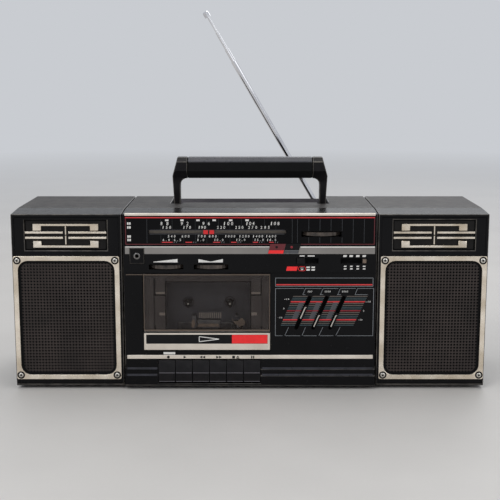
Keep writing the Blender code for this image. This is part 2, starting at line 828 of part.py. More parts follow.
def rear_cabinet():
    outside = [
        (SEAM_Y + GAP, BASE_Z),
        (BULGE_Y - EDGE_CHAMFER, BASE_Z),
        (BULGE_Y, BASE_Z + EDGE_CHAMFER),
        (BULGE_Y, STEP_Z),
        (REAR_Y, STEP_Z),
        (REAR_Y, TOP_Z),
        (SEAM_Y + GAP, TOP_Z),
    ]
    piece = prism("rear_cabinet", [outside], "YZ", (-HALF_WIDTH, HALF_WIDTH), part=True)
    inside = [
        (SEAM_Y - OVERRUN, BASE_Z + WALL),
        (BULGE_Y - WALL, BASE_Z + WALL),
        (BULGE_Y - WALL, STEP_Z - WALL),
        (REAR_Y - WALL, STEP_Z - WALL),
        (REAR_Y - WALL, TOP_Z - WALL),
        (SEAM_Y - OVERRUN, TOP_Z - WALL),
    ]
    hollow = prism("rear_hollow", [inside], "YZ", (WALL - HALF_WIDTH, HALF_WIDTH - WALL))
    cut(piece, hollow)
    join(piece, trough_pan(), *battery_box())
    join(piece, *[rail_channel(side, level) for side in (-1, 1) for level in RAIL_ZS])
    cut(piece, *trough_hollows())
    cut(piece, *battery_hollows())
    cut(piece, *[rail_slot(side, level) for side in (-1, 1) for level in RAIL_ZS])
    inlet_hole = block(
        "inlet_hole",
        around(HALF_WIDTH - INLET_INSET, INLET_WIDTH + GAP * 2),
        (BULGE_Y - WALL - OVERRUN, BULGE_Y + OVERRUN),
        around(BASE_Z + INLET_RISE, INLET_HEIGHT + GAP * 2),
    )
    peg_hole = rod(
        "peg_hole",
        "Z",
        (AERIAL_X, AERIAL_Y, STEP_Z - WALL - OVERRUN),
        WALL + OVERRUN * 2,
        POST_PEG_RADIUS + GAP,
        SMALL_SIDES,
    )
    cut(piece, inlet_hole, peg_hole)
    return black_abs(piece)


def trough_pan():
    """The pan under the top that takes the folded handle."""
    return block(
        "trough_pan",
        (-TROUGH_HALF - WALL, TROUGH_HALF + WALL),
        (HANDLE_Y - POCKET_FRONT - WALL, REAR_Y - WALL / 2),
        (TROUGH_Z - WALL, TOP_Z - WALL / 2),
    )


def trough_hollows():
    trough = block(
        "trough",
        (-TROUGH_HALF, TROUGH_HALF),
        (HANDLE_Y + PIVOT_RADIUS, REAR_Y - TROUGH_LIP),
        (TROUGH_Z, TOP_Z + OVERRUN),
    )
    lip = block(
        "lip_cut",
        (-TROUGH_HALF, TROUGH_HALF),
        (REAR_Y - TROUGH_LIP - OVERRUN, REAR_Y + OVERRUN),
        (TOP_Z - LIP_DROP, TOP_Z + OVERRUN * 2),
    )
    hollows = [trough, lip]
    for side in (-1, 1):
        pocket = block(
            "leg_pocket_%d" % side,
            mirrored(side, TROUGH_HALF - POCKET_WIDTH, TROUGH_HALF),
            (HANDLE_Y - POCKET_FRONT, HANDLE_Y + PIVOT_RADIUS * 2),
            (TROUGH_Z, TOP_Z + OVERRUN),
        )
        start = (mirrored(side, TROUGH_HALF - OVERRUN, TROUGH_HALF + WALL + OVERRUN)[0], HANDLE_Y, HANDLE_Z)
        length = WALL + OVERRUN * 2
        bearing = rod("handle_bearing_%d" % side, "X", start, length, PIVOT_RADIUS + GAP, SMALL_SIDES)
        hollows += [pocket, bearing]
    return hollows


def battery_box():
    """Walls round the batteries, with a wider seat for the lid at the back."""
    rim = LID_MARGIN + LID_GAP + BATTERY_WALL
    top = BATTERY_Z + BATTERY_HEIGHT
    walls = block(
        "battery_walls",
        around(-BATTERY_OFFSET, BATTERY_WIDTH + BATTERY_WALL * 2),
        (BATTERY_FRONT_Y - BATTERY_WALL, BULGE_Y - WALL / 2),
        (BATTERY_Z - BATTERY_WALL, top + BATTERY_WALL),
    )
    seat = block(
        "lid_seat",
        around(-BATTERY_OFFSET, BATTERY_WIDTH + rim * 2),
        (BATTERY_BACK_Y - BATTERY_WALL, BULGE_Y - WALL / 3),
        (BATTERY_Z - rim, top + rim),
    )
    return [walls, seat]


def battery_hollows():
    chamber = block(
        "battery_chamber",
        around(-BATTERY_OFFSET, BATTERY_WIDTH),
        (BATTERY_FRONT_Y, BULGE_Y + OVERRUN),
        (BATTERY_Z, BATTERY_Z + BATTERY_HEIGHT),
    )
    rebate = block(
        "lid_rebate",
        around(-BATTERY_OFFSET, BATTERY_WIDTH + (LID_MARGIN + LID_GAP) * 2),
        (BATTERY_BACK_Y, BULGE_Y + OVERRUN * 2),
        (BATTERY_Z - LID_MARGIN - LID_GAP, BATTERY_Z + BATTERY_HEIGHT + LID_MARGIN + LID_GAP),
    )
    return [chamber, rebate]


def rail_channel(side, level):
    """The housing inside the side wall round one T-shaped slot."""
    inner = HALF_WIDTH - WALL - RAIL_HEAD_THICKNESS - GAP * 2 - RAIL_WALL
    return block(
        "rail_channel_%d_%d" % (side, RAIL_ZS.index(level)),
        mirrored(side, inner, HALF_WIDTH - WALL / 2),
        (RAIL_Y - RAIL_WALL, BULGE_Y - WALL / 2),
        around(level, RAIL_HEAD + RAIL_WALL * 2 + GAP * 2),
    )


def tee(inner, outer, neck, head, head_depth, side, level):
    """Outline of a T lying on its side: a wide head at inner, a narrow neck out to outer."""
    half_neck = neck / 2
    half_head = head / 2
    shoulder = inner + head_depth
    points = [
        (inner, -half_head),
        (shoulder, -half_head),
        (shoulder, -half_neck),
        (outer, -half_neck),
        (outer, half_neck),
        (shoulder, half_neck),
        (shoulder, half_head),
        (inner, half_head),
    ]
    return [(side * across, level + up) for across, up in points]


def rail_slot(side, level):
    inner = HALF_WIDTH - WALL - RAIL_HEAD_THICKNESS - GAP * 2
    outline = tee(
        inner,
        HALF_WIDTH + OVERRUN,
        RAIL_NECK + GAP * 2,
        RAIL_HEAD + GAP * 2,
        RAIL_HEAD_THICKNESS + GAP * 2,
        side,
        level,
    )
    name = "rail_slot_%d_%d" % (side, RAIL_ZS.index(level))
    return prism(name, [outline], "XZ", (RAIL_Y - GAP, BULGE_Y + OVERRUN))


def foot(name, side, back):
    profile = [
        (0, FOOT_HEIGHT - GAP),
        (FOOT_RADIUS, FOOT_HEIGHT - GAP),
        (FOOT_RADIUS, FOOT_CHAMFER),
        (FOOT_RADIUS - FOOT_CHAMFER, 0),
        (0, 0),
    ]
    centre = (side * (HALF_WIDTH - FOOT_INSET), FACE_Y + back, 0)
    return finish(turned(name, profile, "Z", centre, ROUND_SIDES, part=True), RUBBER, 0.8)


# Trim, dial and controls


def trim_bar(name, low, height, depth):
    piece = block(
        name,
        (-PANEL_HALF, PANEL_HALF),
        (FACE_Y - BAR_PROUD, FACE_Y - BAR_PROUD + depth),
        (low, low + height),
        part=True,
    )
    return satin_silver(soften(piece, GAP))


def dial_panel():
    piece = block(
        "dial_panel",
        (-PANEL_HALF, PANEL_HALF),
        (FACE_Y, FACE_Y + DIAL_THICKNESS),
        (DIAL_Z, DIAL_TOP_Z),
        part=True,
    )
    cut(piece, pointer_slot("pointer_window"))
    cut(piece, wheel_slot("tuning_window", TUNING_X, TUNING_Z, TUNING_SLOT_WIDTH))
    return gloss_black(piece)


def status_band():
    piece = block(
        "status_band",
        (-PANEL_HALF, PANEL_HALF),
        (FACE_Y - BAND_PROUD, FACE_Y - BAND_PROUD + BAND_THICKNESS),
        (BAND_Z, BAND_Z + STATUS_BAND_HEIGHT - GAP),
        part=True,
    )
    notch = block(
        "jack_notch",
        around(JACK_X, JACK_WIDTH + GAP * 2),
        (FACE_Y - OVERRUN, FACE_Y + OVERRUN),
        (BAND_Z - OVERRUN, JACK_TOP_Z + GAP),
    )
    return finish(cut(piece, notch), BAND_GREY, 0.35, 0.4)


def phones_jack():
    piece = block(
        "phones_jack",
        around(JACK_X, JACK_WIDTH),
        (FACE_Y - JACK_PROUD, INSIDE_Y),
        around(JACK_Z, JACK_HEIGHT),
        part=True,
    )
    start = (JACK_X, FACE_Y, JACK_Z)
    join(piece, rod("jack_barrel", "Y", start, JACK_LENGTH, JACK_BARREL))
    bore_start = (JACK_X, FACE_Y - OVERRUN, JACK_Z)
    cut(piece, rod("jack_bore", "Y", bore_start, JACK_LENGTH, JACK_BORE, SMALL_SIDES))
    return black_abs(piece)


def fluted(radius):
    """Outline of a wheel whose edge has grip flutes."""
    teeth = [radius, radius - WHEEL_FLUTE]
    turns = [2 * pi * step / (FLUTES * 2) for step in range(FLUTES * 2)]
    return [(teeth[i % 2] * cos(turn), teeth[i % 2] * sin(turn)) for i, turn in enumerate(turns)]


def thumbwheel(name, centre, radius):
    outlines = [fluted(radius), circle((0, 0), WHEEL_BORE, SMALL_SIDES)]
    piece = prism(name, outlines, "XY", around(0, WHEEL_THICKNESS), part=True)
    piece.location = centre
    return black_abs(piece)


def tee_slider(name, size, slot_height, proud, centre):
    """A knob in a slot with a wider shoe behind the wall, drawn from the side and extruded along X."""
    half = slot_height / 2 - GAP
    shoe_front = FRONT_WALL + GAP
    points = [
        (-proud, -half),
        (shoe_front, -half),
        (shoe_front, -half - SHOE_OVERLAP),
        (shoe_front + SHOE_THICKNESS, -half - SHOE_OVERLAP),
        (shoe_front + SHOE_THICKNESS, half + SHOE_OVERLAP),
        (shoe_front, half + SHOE_OVERLAP),
        (shoe_front, half),
        (-proud, half),
    ]
    piece = prism(name, [points], "YZ", around(0, size), part=True)
    piece.location = centre
    return piece


def dial_pointer():
    centre = (POINTER_INSET - HALF_WIDTH, FACE_Y, POINTER_Z)
    piece = tee_slider("dial_pointer", POINTER_WIDTH, POINTER_SLOT_HEIGHT, 0, centre)
    return finish(piece, RED, 0.4)


def function_switch():
    middle = FUNCTION_X - FUNCTION_SLOT_WIDTH / 2 + FUNCTION_KNOB_WIDTH / 2 + RUNNING
    centre = (middle, FACE_Y, SWITCH_Z)
    name = "function_switch"
    return black_abs(tee_slider(name, FUNCTION_KNOB_WIDTH, SWITCH_SLOT_HEIGHT, SWITCH_PROUD, centre))


def band_switch():
    middle = BAND_SWITCH_X + BAND_SLOT_WIDTH / 2 - BAND_KNOB_WIDTH / 2 - RUNNING
    centre = (middle, FACE_Y, SWITCH_Z)
    name = "band_switch"
    return black_abs(tee_slider(name, BAND_KNOB_WIDTH, SWITCH_SLOT_HEIGHT, SWITCH_PROUD, centre))


def equalizer_slider(index):
    """A narrow tab and its shoe, drawn from the end and extruded along the slot."""
    half = SLIDER_WIDTH / 2
    shoe = SLIDER_SHOE_WIDTH / 2
    back = FRONT_WALL + GAP
    points = [
        (-half, -SLIDER_PROUD),
        (half, -SLIDER_PROUD),
        (half, back),
        (shoe, back),
        (shoe, back + SHOE_THICKNESS),
        (-shoe, back + SHOE_THICKNESS),
        (-shoe, back),
        (-half, back),
    ]
    name = "equalizer_slider_%d" % (index + 1)
    piece = prism(name, [points], "XY", around(0, SLIDER_LENGTH), part=True)
    turn = Matrix.Rotation(radians(EQUALIZER_LEAN), 4, 'Y')
    reach = (EQUALIZER_SLOT_LENGTH - SLIDER_LENGTH) / 2
    along = turn @ Vector((0, 0, reach * SLIDER_POSITION_SHARES[index]))
    piece.matrix_world = Matrix.Translation(equalizer_middle(index) + along) @ turn
    return plain_steel(piece)


# Cassette door and tape deck


def door_hinge():
    return (TAPE_X, DOOR_HINGE_Y, DOOR_HINGE_Z)


def door_spans():
    across = (DOOR_LEFT + DOOR_GAP, DOOR_RIGHT - DOOR_GAP)
    low = DOOR_Z + DOOR_GAP * 2
    split = low + DOOR_TRIM_HEIGHT
    high = DOOR_TOP_Z - DOOR_GAP
    return across, low, split, high


def beside_tape(side, near, far):
    return tuple(TAPE_X + value for value in mirrored(side, near, far))


def cassette_door():
    """The carrier behind the window, with the guides that hold the cassette."""
    across, low, split, high = door_spans()
    front = FACE_Y + WINDOW_THICKNESS + GAP
    back = front + CARRIER_THICKNESS
    edge = rectangle(across, (low, high))
    opening_x = (across[0] + CARRIER_RIM, across[1] - CARRIER_RIM)
    opening = rectangle(opening_x, (split + GAP, high - CARRIER_RIM))
    piece = prism("cassette_door", [edge, opening], "XZ", (front, back), part=True)
    floor = high - TAPE_HEIGHT
    inner = TAPE_WIDTH / 2
    outer = inner + GUIDE_THICKNESS
    clip_z = around((SPINDLE_Z + high) / 2, CLIP_HEIGHT)
    for side in (-1, 1):
        guide = block(
            "tape_guide_%d" % side,
            beside_tape(side, inner, outer),
            (back - CARRIER_THICKNESS / 2, FACE_Y + GUIDE_DEPTH),
            (floor - GUIDE_THICKNESS, high - CARRIER_RIM - GAP),
        )
        shelf = block(
            "tape_shelf_%d" % side,
            beside_tape(side, inner - SHELF_LENGTH, inner + GUIDE_THICKNESS / 2),
            (back - CARRIER_THICKNESS / 2, FACE_Y + GUIDE_DEPTH - GAP),
            (floor - GUIDE_THICKNESS + GAP, floor),
        )
        foot_web = block(
            "guide_web_%d" % side,
            beside_tape(side, inner - SHELF_LENGTH, outer),
            (front + GAP, back),
            (floor - GUIDE_THICKNESS * 2, floor),
        )
        clip = block(
            "tape_clip_%d" % side,
            beside_tape(side, inner - CLIP_WIDTH, inner + GUIDE_THICKNESS / 2),
            (back - CARRIER_THICKNESS / 2, back + CARRIER_THICKNESS / 2),
            clip_z,
        )
        bridge = block(
            "guide_bridge_%d" % side,
            beside_tape(side, inner + GAP, DOOR_WIDTH / 2 - abs(TAPE_OFFSET)),
            (front + GAP, back),
            clip_z,
        )
        join(piece, guide, foot_web, shelf, bridge, clip)
    return black_abs(set_pivot(piece, door_hinge()))


def cassette_window():
    across, low, split, high = door_spans()
    piece = block(
        "cassette_window",
        across,
        (FACE_Y, FACE_Y + WINDOW_THICKNESS),
        (split + GAP, high),
        part=True,
    )
    soften(piece, GAP)
    return finish(set_pivot(piece, door_hinge()), SMOKE, 0.05, 0.0, 0.45)


def door_trim():
    across, low, split, high = door_spans()
    piece = block(
        "cassette_door_trim",
        across,
        (FACE_Y - DOOR_TRIM_PROUD, FACE_Y + DOOR_TRIM_THICKNESS),
        (low, split),
        part=True,
    )
    soften(piece, GAP)
    return satin_silver(set_pivot(piece, door_hinge()))


def deck_plate():
    """Steel chassis of the tape deck, with its motor and the two lugs that hold the key shaft."""
    left = DOOR_LEFT - DECK_MARGIN
    right = DOOR_RIGHT + DECK_MARGIN
    edge = rounded_rectangle((left, right), (DOOR_Z - DECK_FOOT, DOOR_TOP_Z - DECK_FOOT), BOSS_RADIUS)
    holes = []
    for side in (-1, 1):
        place = (TAPE_X + side * SPINDLE_SPACING / 2, SPINDLE_Z)
        holes.append(circle(place, REEL_SHAFT_RADIUS + GAP, SMALL_SIDES))
    holes.append(circle((capstan_place()), CAPSTAN_RADIUS + GAP, SMALL_SIDES))
    piece = prism("deck_plate", [edge] + holes, "XZ", (DECK_Y, DECK_BACK_Y), part=True)
    motor_start = (left + MOTOR_INSET, DECK_BACK_Y - DECK_THICKNESS / 2, SHAFT_Z + MOTOR_RADIUS)
    join(piece, rod("deck_motor", "Y", motor_start, MOTOR_LENGTH, MOTOR_RADIUS))
    for name, x in (("left", KEYS_X - LUG_THICKNESS * 2), ("right", keys_right() + LUG_THICKNESS)):
        outline = arc((SHAFT_Y, SHAFT_Z), KEY_RING_RADIUS, 90, 270)
        outline += [
            (DECK_Y + DECK_THICKNESS / 2, SHAFT_Z - KEY_RING_RADIUS),
            (DECK_Y + DECK_THICKNESS / 2, SHAFT_Z + KEY_RING_RADIUS),
        ]
        join(piece, prism("shaft_lug_" + name, [outline], "YZ", (x, x + LUG_THICKNESS)))
    cut(piece, shaft_rod("shaft_hole", GAP, LUG_THICKNESS, False))
    return plain_steel(piece)


def capstan_place():
    return (TAPE_X + CAPSTAN_OFFSET, SPINDLE_Z - CAPSTAN_FALL)


def keys_right():
    return KEYS_X + KEY_COUNT * KEY_PITCH


def shaft_rod(name, clearance, overrun, part):
    """The shaft that the keys hang on, or the hole for it."""
    start = KEYS_X - LUG_THICKNESS * 2 - overrun
    length = keys_right() + LUG_THICKNESS * 2 + overrun - start
    return rod(name, "X", (start, SHAFT_Y, SHAFT_Z), length, SHAFT_RADIUS + clearance, SMALL_SIDES, part)


def piano_key(index, name):
    """A key from the side: a head with a ridge, and an arm up to its ring on the shaft."""
    low = BASE_Z + KEY_FOOT
    top = LOWER_BAR_Z - GAP * 4
    front = FACE_Y - KEY_PROUD
    arm_front = FACE_Y + KEY_ARM_DEPTH
    arm_back = front + KEY_THICKNESS
    ring = arc((SHAFT_Y, SHAFT_Z), KEY_RING_RADIUS, 170, -110, ARC_STEPS * 2)
    outline = [
        (front, low),
        (front, BASE_Z + KEY_RIDGE),
        (front + KEY_LEAN, top),
        (arm_front, top),
    ]
    outline += ring
    outline += [(arm_back, top), (arm_back, low)]
    bore = circle((SHAFT_Y, SHAFT_Z), KEY_BORE, SMALL_SIDES)
    start = KEYS_X + index * KEY_PITCH + KEY_SIDE_GAP / 2
    piece = prism(name, [outline[::-1], bore], "YZ", (start, start + KEY_PITCH - KEY_SIDE_GAP), part=True)
    return black_abs(set_pivot(piece, (start + KEY_PITCH / 2, SHAFT_Y, SHAFT_Z)))


def reel_spindle(name, side):
    """Drive hub with three fins in front of the plate, its shaft, and the reel disc behind."""
    x = TAPE_X + side * SPINDLE_SPACING / 2
    hub_back = DECK_DEPTH - GAP
    disc_front = DECK_DEPTH + DECK_THICKNESS + GAP
    profile = [
        (0, disc_front + REEL_DISC_THICKNESS),
        (REEL_DISC_RADIUS, disc_front + REEL_DISC_THICKNESS),
        (REEL_DISC_RADIUS, disc_front),
        (REEL_SHAFT_RADIUS, disc_front),
        (REEL_SHAFT_RADIUS, hub_back),
        (HUB_RADIUS, hub_back),
        (HUB_RADIUS, hub_back - HUB_LENGTH),
        (0, hub_back - HUB_LENGTH - HUB_POINT),
    ]
    piece = turned(name, profile, "Y", (x, FACE_Y, SPINDLE_Z), ROUND_SIDES, part=True)
    for fin in range(3):
        blade = block(
            "%s_fin_%d" % (name, fin),
            (0, HUB_FIN_RADIUS),
            (hub_back - HUB_LENGTH + GAP, hub_back - GAP),
            around(0, HUB_FIN_THICKNESS),
        )
        turn = Matrix.Rotation(2 * pi * fin / 3 + pi / 2, 4, 'Y')
        blade.matrix_world = Matrix.Translation((x, FACE_Y, SPINDLE_Z)) @ turn
        join(piece, blade)
    return finish(piece, DARK_GREY, 0.4)


def capstan_flywheel():
    x, z = capstan_place()
    front = DECK_DEPTH - CAPSTAN_REACH
    wheel_front = DECK_DEPTH + DECK_THICKNESS + REEL_DISC_THICKNESS + GAP * 3
    wheel_back = wheel_front + FLYWHEEL_THICKNESS
    web = wheel_front + FLYWHEEL_WEB
    profile = [
        (0, web),
        (FLYWHEEL_RADIUS - FLYWHEEL_RIM, web),
        (FLYWHEEL_RADIUS - FLYWHEEL_RIM, wheel_back),
        (FLYWHEEL_RADIUS, wheel_back),
        (FLYWHEEL_RADIUS, wheel_front),
        (CAPSTAN_RADIUS, wheel_front),
        (CAPSTAN_RADIUS, front),
        (0, front),
    ]
    piece = turned("capstan_flywheel", profile, "Y", (x, FACE_Y, z), FINE_SIDES, part=True)
    return plain_steel(piece)


def roller_place():
    x, z = capstan_place()
    return (x + CAPSTAN_RADIUS, z - ROLLER_FALL)


def head_carriage():
    """Plate that lifts the heads, the tape fork and the pinch roller's pin when a tape plays."""
    back = DECK_Y - GAP
    front = back - CARRIAGE_THICKNESS
    top = roller_place()[1] + ROLLER_PIN_RADIUS * 2
    roller_x = roller_place()[0]
    right = roller_x + ROLLER_RADIUS
    piece = block(
        "head_carriage",
        (right - CARRIAGE_WIDTH, right),
        (front, back),
        (top - CARRIAGE_HEIGHT, top),
        part=True,
    )
    head = block(
        "tape_heads",
        around(TAPE_X, HEAD_WIDTH),
        (front - HEAD_DEPTH, back - CARRIAGE_THICKNESS / 2),
        (top - HEAD_HEIGHT / 2, top + HEAD_HEIGHT / 2),
    )
    fork = block(
        "tape_fork",
        around(TAPE_X - HEAD_WIDTH / 2 - TAPE_FORK_WIDTH, TAPE_FORK_WIDTH),
        (front - HEAD_DEPTH, back - CARRIAGE_THICKNESS / 2),
        (top - HEAD_HEIGHT / 2, top + HEAD_HEIGHT / 2 + TAPE_FORK_RISE),
    )
    pin_start = (roller_x, back - CARRIAGE_THICKNESS / 2 - ROLLER_LENGTH - OVERRUN, roller_place()[1])
    pin = rod("roller_pin", "Y", pin_start, ROLLER_LENGTH + OVERRUN, ROLLER_PIN_RADIUS, SMALL_SIDES)
    return plain_steel(join(piece, head, fork, pin))


def pinch_roller():
    x, z = roller_place()
    back = DECK_DEPTH - GAP * 2 - CARRIAGE_THICKNESS
    profile = [
        (ROLLER_PIN_RADIUS + GAP, back - ROLLER_LENGTH),
        (ROLLER_PIN_RADIUS + GAP, back),
        (ROLLER_RADIUS, back),
        (ROLLER_RADIUS, back - ROLLER_LENGTH),
    ]
    piece = turned("pinch_roller", profile, "Y", (x, FACE_Y, z), ROUND_SIDES, ring=True, part=True)
    return finish(piece, RUBBER, 0.7)


# Inside the cases


def main_board():
    """Board across the case, with the two level controls and the tuning capacitor on it."""
    half = HALF_WIDTH - WALL - BOARD_SIDE_GAP
    piece = block(
        "main_board",
        (-half, half),
        (FACE_Y + BOARD_FRONT, FACE_Y + BOARD_FRONT + BOARD_DEPTH),
        (BOARD_Z, BOARD_TOP_Z),
        part=True,
    )
    start_z = BOARD_TOP_Z - BOARD_THICKNESS / 2
    wheel_foot = LEVEL_Z - WHEEL_THICKNESS / 2 - GAP
    shaft_top = wheel_foot + WHEEL_THICKNESS + GAP * 2
    for name, x in (("volume", VOLUME_X), ("balance", BALANCE_X)):
        pot_start = (x, LEVEL_WHEEL_Y, start_z)
        pot = rod(name + "_pot", "Z", pot_start, wheel_foot - start_z, POT_RADIUS, SMALL_SIDES)
        shaft_start = (x, LEVEL_WHEEL_Y, wheel_foot - GAP)
        length = shaft_top - wheel_foot
        shaft = rod(name + "_shaft", "Z", shaft_start, length, POT_SHAFT_RADIUS, SMALL_SIDES)
        join(piece, pot, shaft)
    tuning_foot = TUNING_Z - WHEEL_THICKNESS / 2 - GAP
    capacitor = block(
        "tuning_capacitor",
        around(TUNING_X, TUNER_CAPACITOR),
        around(TUNING_WHEEL_Y, TUNER_CAPACITOR),
        (start_z, BOARD_TOP_Z + TUNER_CAPACITOR_HEIGHT),
    )
    collar_z = BOARD_TOP_Z + TUNER_CAPACITOR_HEIGHT / 2
    collar_start = (TUNING_X, TUNING_WHEEL_Y, collar_z)
    collar = rod("tuning_collar", "Z", collar_start, tuning_foot - collar_z, POT_RADIUS, SMALL_SIDES)
    shaft_start = (TUNING_X, TUNING_WHEEL_Y, tuning_foot - GAP)
    shaft = rod("tuning_shaft", "Z", shaft_start, WHEEL_THICKNESS + GAP * 3, POT_SHAFT_RADIUS, SMALL_SIDES)
    join(piece, capacitor, collar, shaft)
    return finish(piece, BOARD_BROWN, 0.6)


# Handle


def grip_outline():
    """Section of the grip: chamfered top, flat faces, and a lower face that slopes in."""
    top = HANDLE_Z + HANDLE_REACH
    half = GRIP_DEPTH / 2
    low = top - GRIP_HEIGHT
    return [
        (HANDLE_Y - half + GRIP_FOOT_SLANT, low),
        (HANDLE_Y + half - GRIP_FOOT_SLANT, low),
        (HANDLE_Y + half, low + GRIP_CREASE),
        (HANDLE_Y + half, top - GRIP_TOP_CHAMFER),
        (HANDLE_Y + half - GRIP_TOP_CHAMFER, top),
        (HANDLE_Y - half + GRIP_TOP_CHAMFER, top),
        (HANDLE_Y - half, top - GRIP_TOP_CHAMFER),
        (HANDLE_Y - half, low + GRIP_CREASE),
    ]


def handle_side_outline():
    """The whole handle seen from the side: round foot on the pivot, slim leg, full grip section."""
    section = grip_outline()
    half = LEG_DEPTH / 2
    low = HANDLE_Z + HANDLE_REACH - GRIP_HEIGHT
    round_foot = arc((HANDLE_Y, HANDLE_Z), half, 180, 360)
    right = [(HANDLE_Y + half, low - GRIP_CREASE)] + section[1:5]
    left = section[5:] + [section[0], (HANDLE_Y - half, low - GRIP_CREASE)]
    return round_foot + right + left


def handle_front_outline():
    """Half of the handle seen from the front, then the other half in mirror image."""
    top = HANDLE_Z + HANDLE_REACH
    low = top - GRIP_HEIGHT
    foot_z = HANDLE_Z - LEG_DEPTH
    outer = HANDLE_HALF_SPAN
    inner = outer - LEG_WIDTH
    shoulder = outer + SHOULDER_SPREAD
    seam = GRIP_HALF_LENGTH + GAP
    half = [
        (outer, foot_z),
        (outer, HANDLE_Z),
        (outer + LEG_SPREAD, top - LEG_TOP_DROP),
        (shoulder, top - SHOULDER_DROP),
        (shoulder - CORNER_SLANT, top - GRIP_TOP_CHAMFER),
        (shoulder - CORNER_SLANT - CORNER_EDGE, top),
        (seam, top),
        (seam, top - CORE_BAR_MARGIN),
    ]
    inside = [(seam, low + CORE_BAR_MARGIN), (seam, low)]
    inside += arc((inner - INNER_CORNER, low - INNER_CORNER), INNER_CORNER, 90, 0)
    inside += [(inner, foot_z)]
    left = [(-x, z) for x, z in half[::-1]]
    left_inside = [(-x, z) for x, z in inside[::-1]]
    return half + left + left_inside + inside


def handle_frame():
    """Legs, corners and the core bar through the grip: a front outline crossed with a side outline."""
    depth = around(HANDLE_Y, GRIP_DEPTH + OVERRUN * 2)
    piece = prism("handle_frame", [handle_front_outline()], "XZ", depth, part=True)
    reach = HANDLE_HALF_SPAN + SHOULDER_SPREAD + OVERRUN
    side = prism("handle_side", [handle_side_outline()], "YZ", (-reach, reach))
    combine(piece, [side], 'INTERSECT')
    seam = GRIP_HALF_LENGTH + GAP
    tall = (HANDLE_Z, HANDLE_Z + HANDLE_REACH + OVERRUN)
    half = CORE_BAR_DEPTH / 2
    waists = blocks("core_waists", [
        ((-seam, seam), (HANDLE_Y - GRIP_DEPTH, HANDLE_Y - half), tall),
        ((-seam, seam), (HANDLE_Y + half, HANDLE_Y + GRIP_DEPTH), tall),
    ])
    cut(piece, waists)
    for direction in (-1, 1):
        end = TROUGH_HALF + WALL / 2
        xs = mirrored(direction, HANDLE_HALF_SPAN - LEG_WIDTH / 2, end)
        pin = rod("handle_pin_%d" % direction, "X", (xs[0], HANDLE_Y, HANDLE_Z), xs[1] - xs[0], PIVOT_RADIUS)
        join(piece, pin)
    return black_abs(set_pivot(piece, (0, HANDLE_Y, HANDLE_Z)))


def handle_grip():
    top = HANDLE_Z + HANDLE_REACH
    low = top - GRIP_HEIGHT
    half = CORE_BAR_DEPTH / 2 + GAP
    bore = rectangle(
        (HANDLE_Y - half, HANDLE_Y + half),
        (low + CORE_BAR_MARGIN - GAP, top - CORE_BAR_MARGIN + GAP),
    )
    span = (-GRIP_HALF_LENGTH, GRIP_HALF_LENGTH)
    piece = prism("handle_grip", [grip_outline(), bore], "YZ", span, part=True)
    return black_abs(set_pivot(piece, (0, HANDLE_Y, HANDLE_Z)))


# Aerial


def aerial_post():
    """Swivelling post: a disc on a peg, two cheeks, and the pin between them."""
    piece = rod(
        "aerial_post",
        "Z",
        (AERIAL_X, AERIAL_Y, STEP_Z + GAP),
        POST_HEIGHT,
        POST_RADIUS,
        ROUND_SIDES,
        part=True,
    )
    peg_start = (AERIAL_X, AERIAL_Y, STEP_Z + GAP - POST_PEG_LENGTH)
    peg = rod("post_peg", "Z", peg_start, POST_PEG_LENGTH + POST_HEIGHT / 2, POST_PEG_RADIUS, SMALL_SIDES)
    join(piece, peg)
    inner = EYE_THICKNESS / 2 + GAP
    low = STEP_Z + GAP + POST_HEIGHT / 2
    outline = [(AERIAL_X - CHEEK_RADIUS, low), (AERIAL_X + CHEEK_RADIUS, low)]
    outline += arc((AERIAL_X, AERIAL_Z), CHEEK_RADIUS, 0, 180)
    for side in (-1, 1):
        span = tuple(AERIAL_Y + value for value in mirrored(side, inner, inner + CHEEK_THICKNESS))
        join(piece, prism("post_cheek_%d" % side, [outline], "XZ", span))
    pin_half = inner + CHEEK_THICKNESS / 2
    pin_start = (AERIAL_X, AERIAL_Y - pin_half, AERIAL_Z)
    join(piece, rod("post_pin", "Y", pin_start, pin_half * 2, PIN_RADIUS, SMALL_SIDES))
    return chromed(set_pivot(piece, (AERIAL_X, AERIAL_Y, STEP_Z)))


def aerial_matrix():
    """From the aerial's own axis, straight up, to where it leans in the photograph."""
    place = Matrix.Translation((AERIAL_X, AERIAL_Y, AERIAL_Z))
    return place @ Matrix.Rotation(radians(-AERIAL_LEAN), 4, 'Y')


def aerial_tube():
    """The lowest and widest tube, with the flat eye that turns in the post."""
    radius = TUBE_RADII[0]
    end = TUBE_START + TUBE_LENGTH
    profile = [
        (0, TUBE_START * 2),
        (radius - TUBE_WALL, TUBE_START * 2),
        (radius - TUBE_WALL, end),
        (radius, end),
        (radius, TUBE_START),
        (0, TUBE_START),
    ]
    piece = turned("aerial_tube", profile, "Z", (0, 0, 0), ROUND_SIDES, part=True)
    neck = arc((0, 0), EYE_RADIUS, 180, 360)
    neck += [(EYE_RADIUS, TUBE_START * 1.5), (-EYE_RADIUS, TUBE_START * 1.5)]
    hole = circle((0, 0), PIN_RADIUS + GAP, SMALL_SIDES)
    eye = prism("aerial_eye", [neck, hole], "XZ", around(0, EYE_THICKNESS))
    eye.matrix_world = aerial_matrix()
    piece.matrix_world = aerial_matrix()
    return chromed(join(piece, eye))


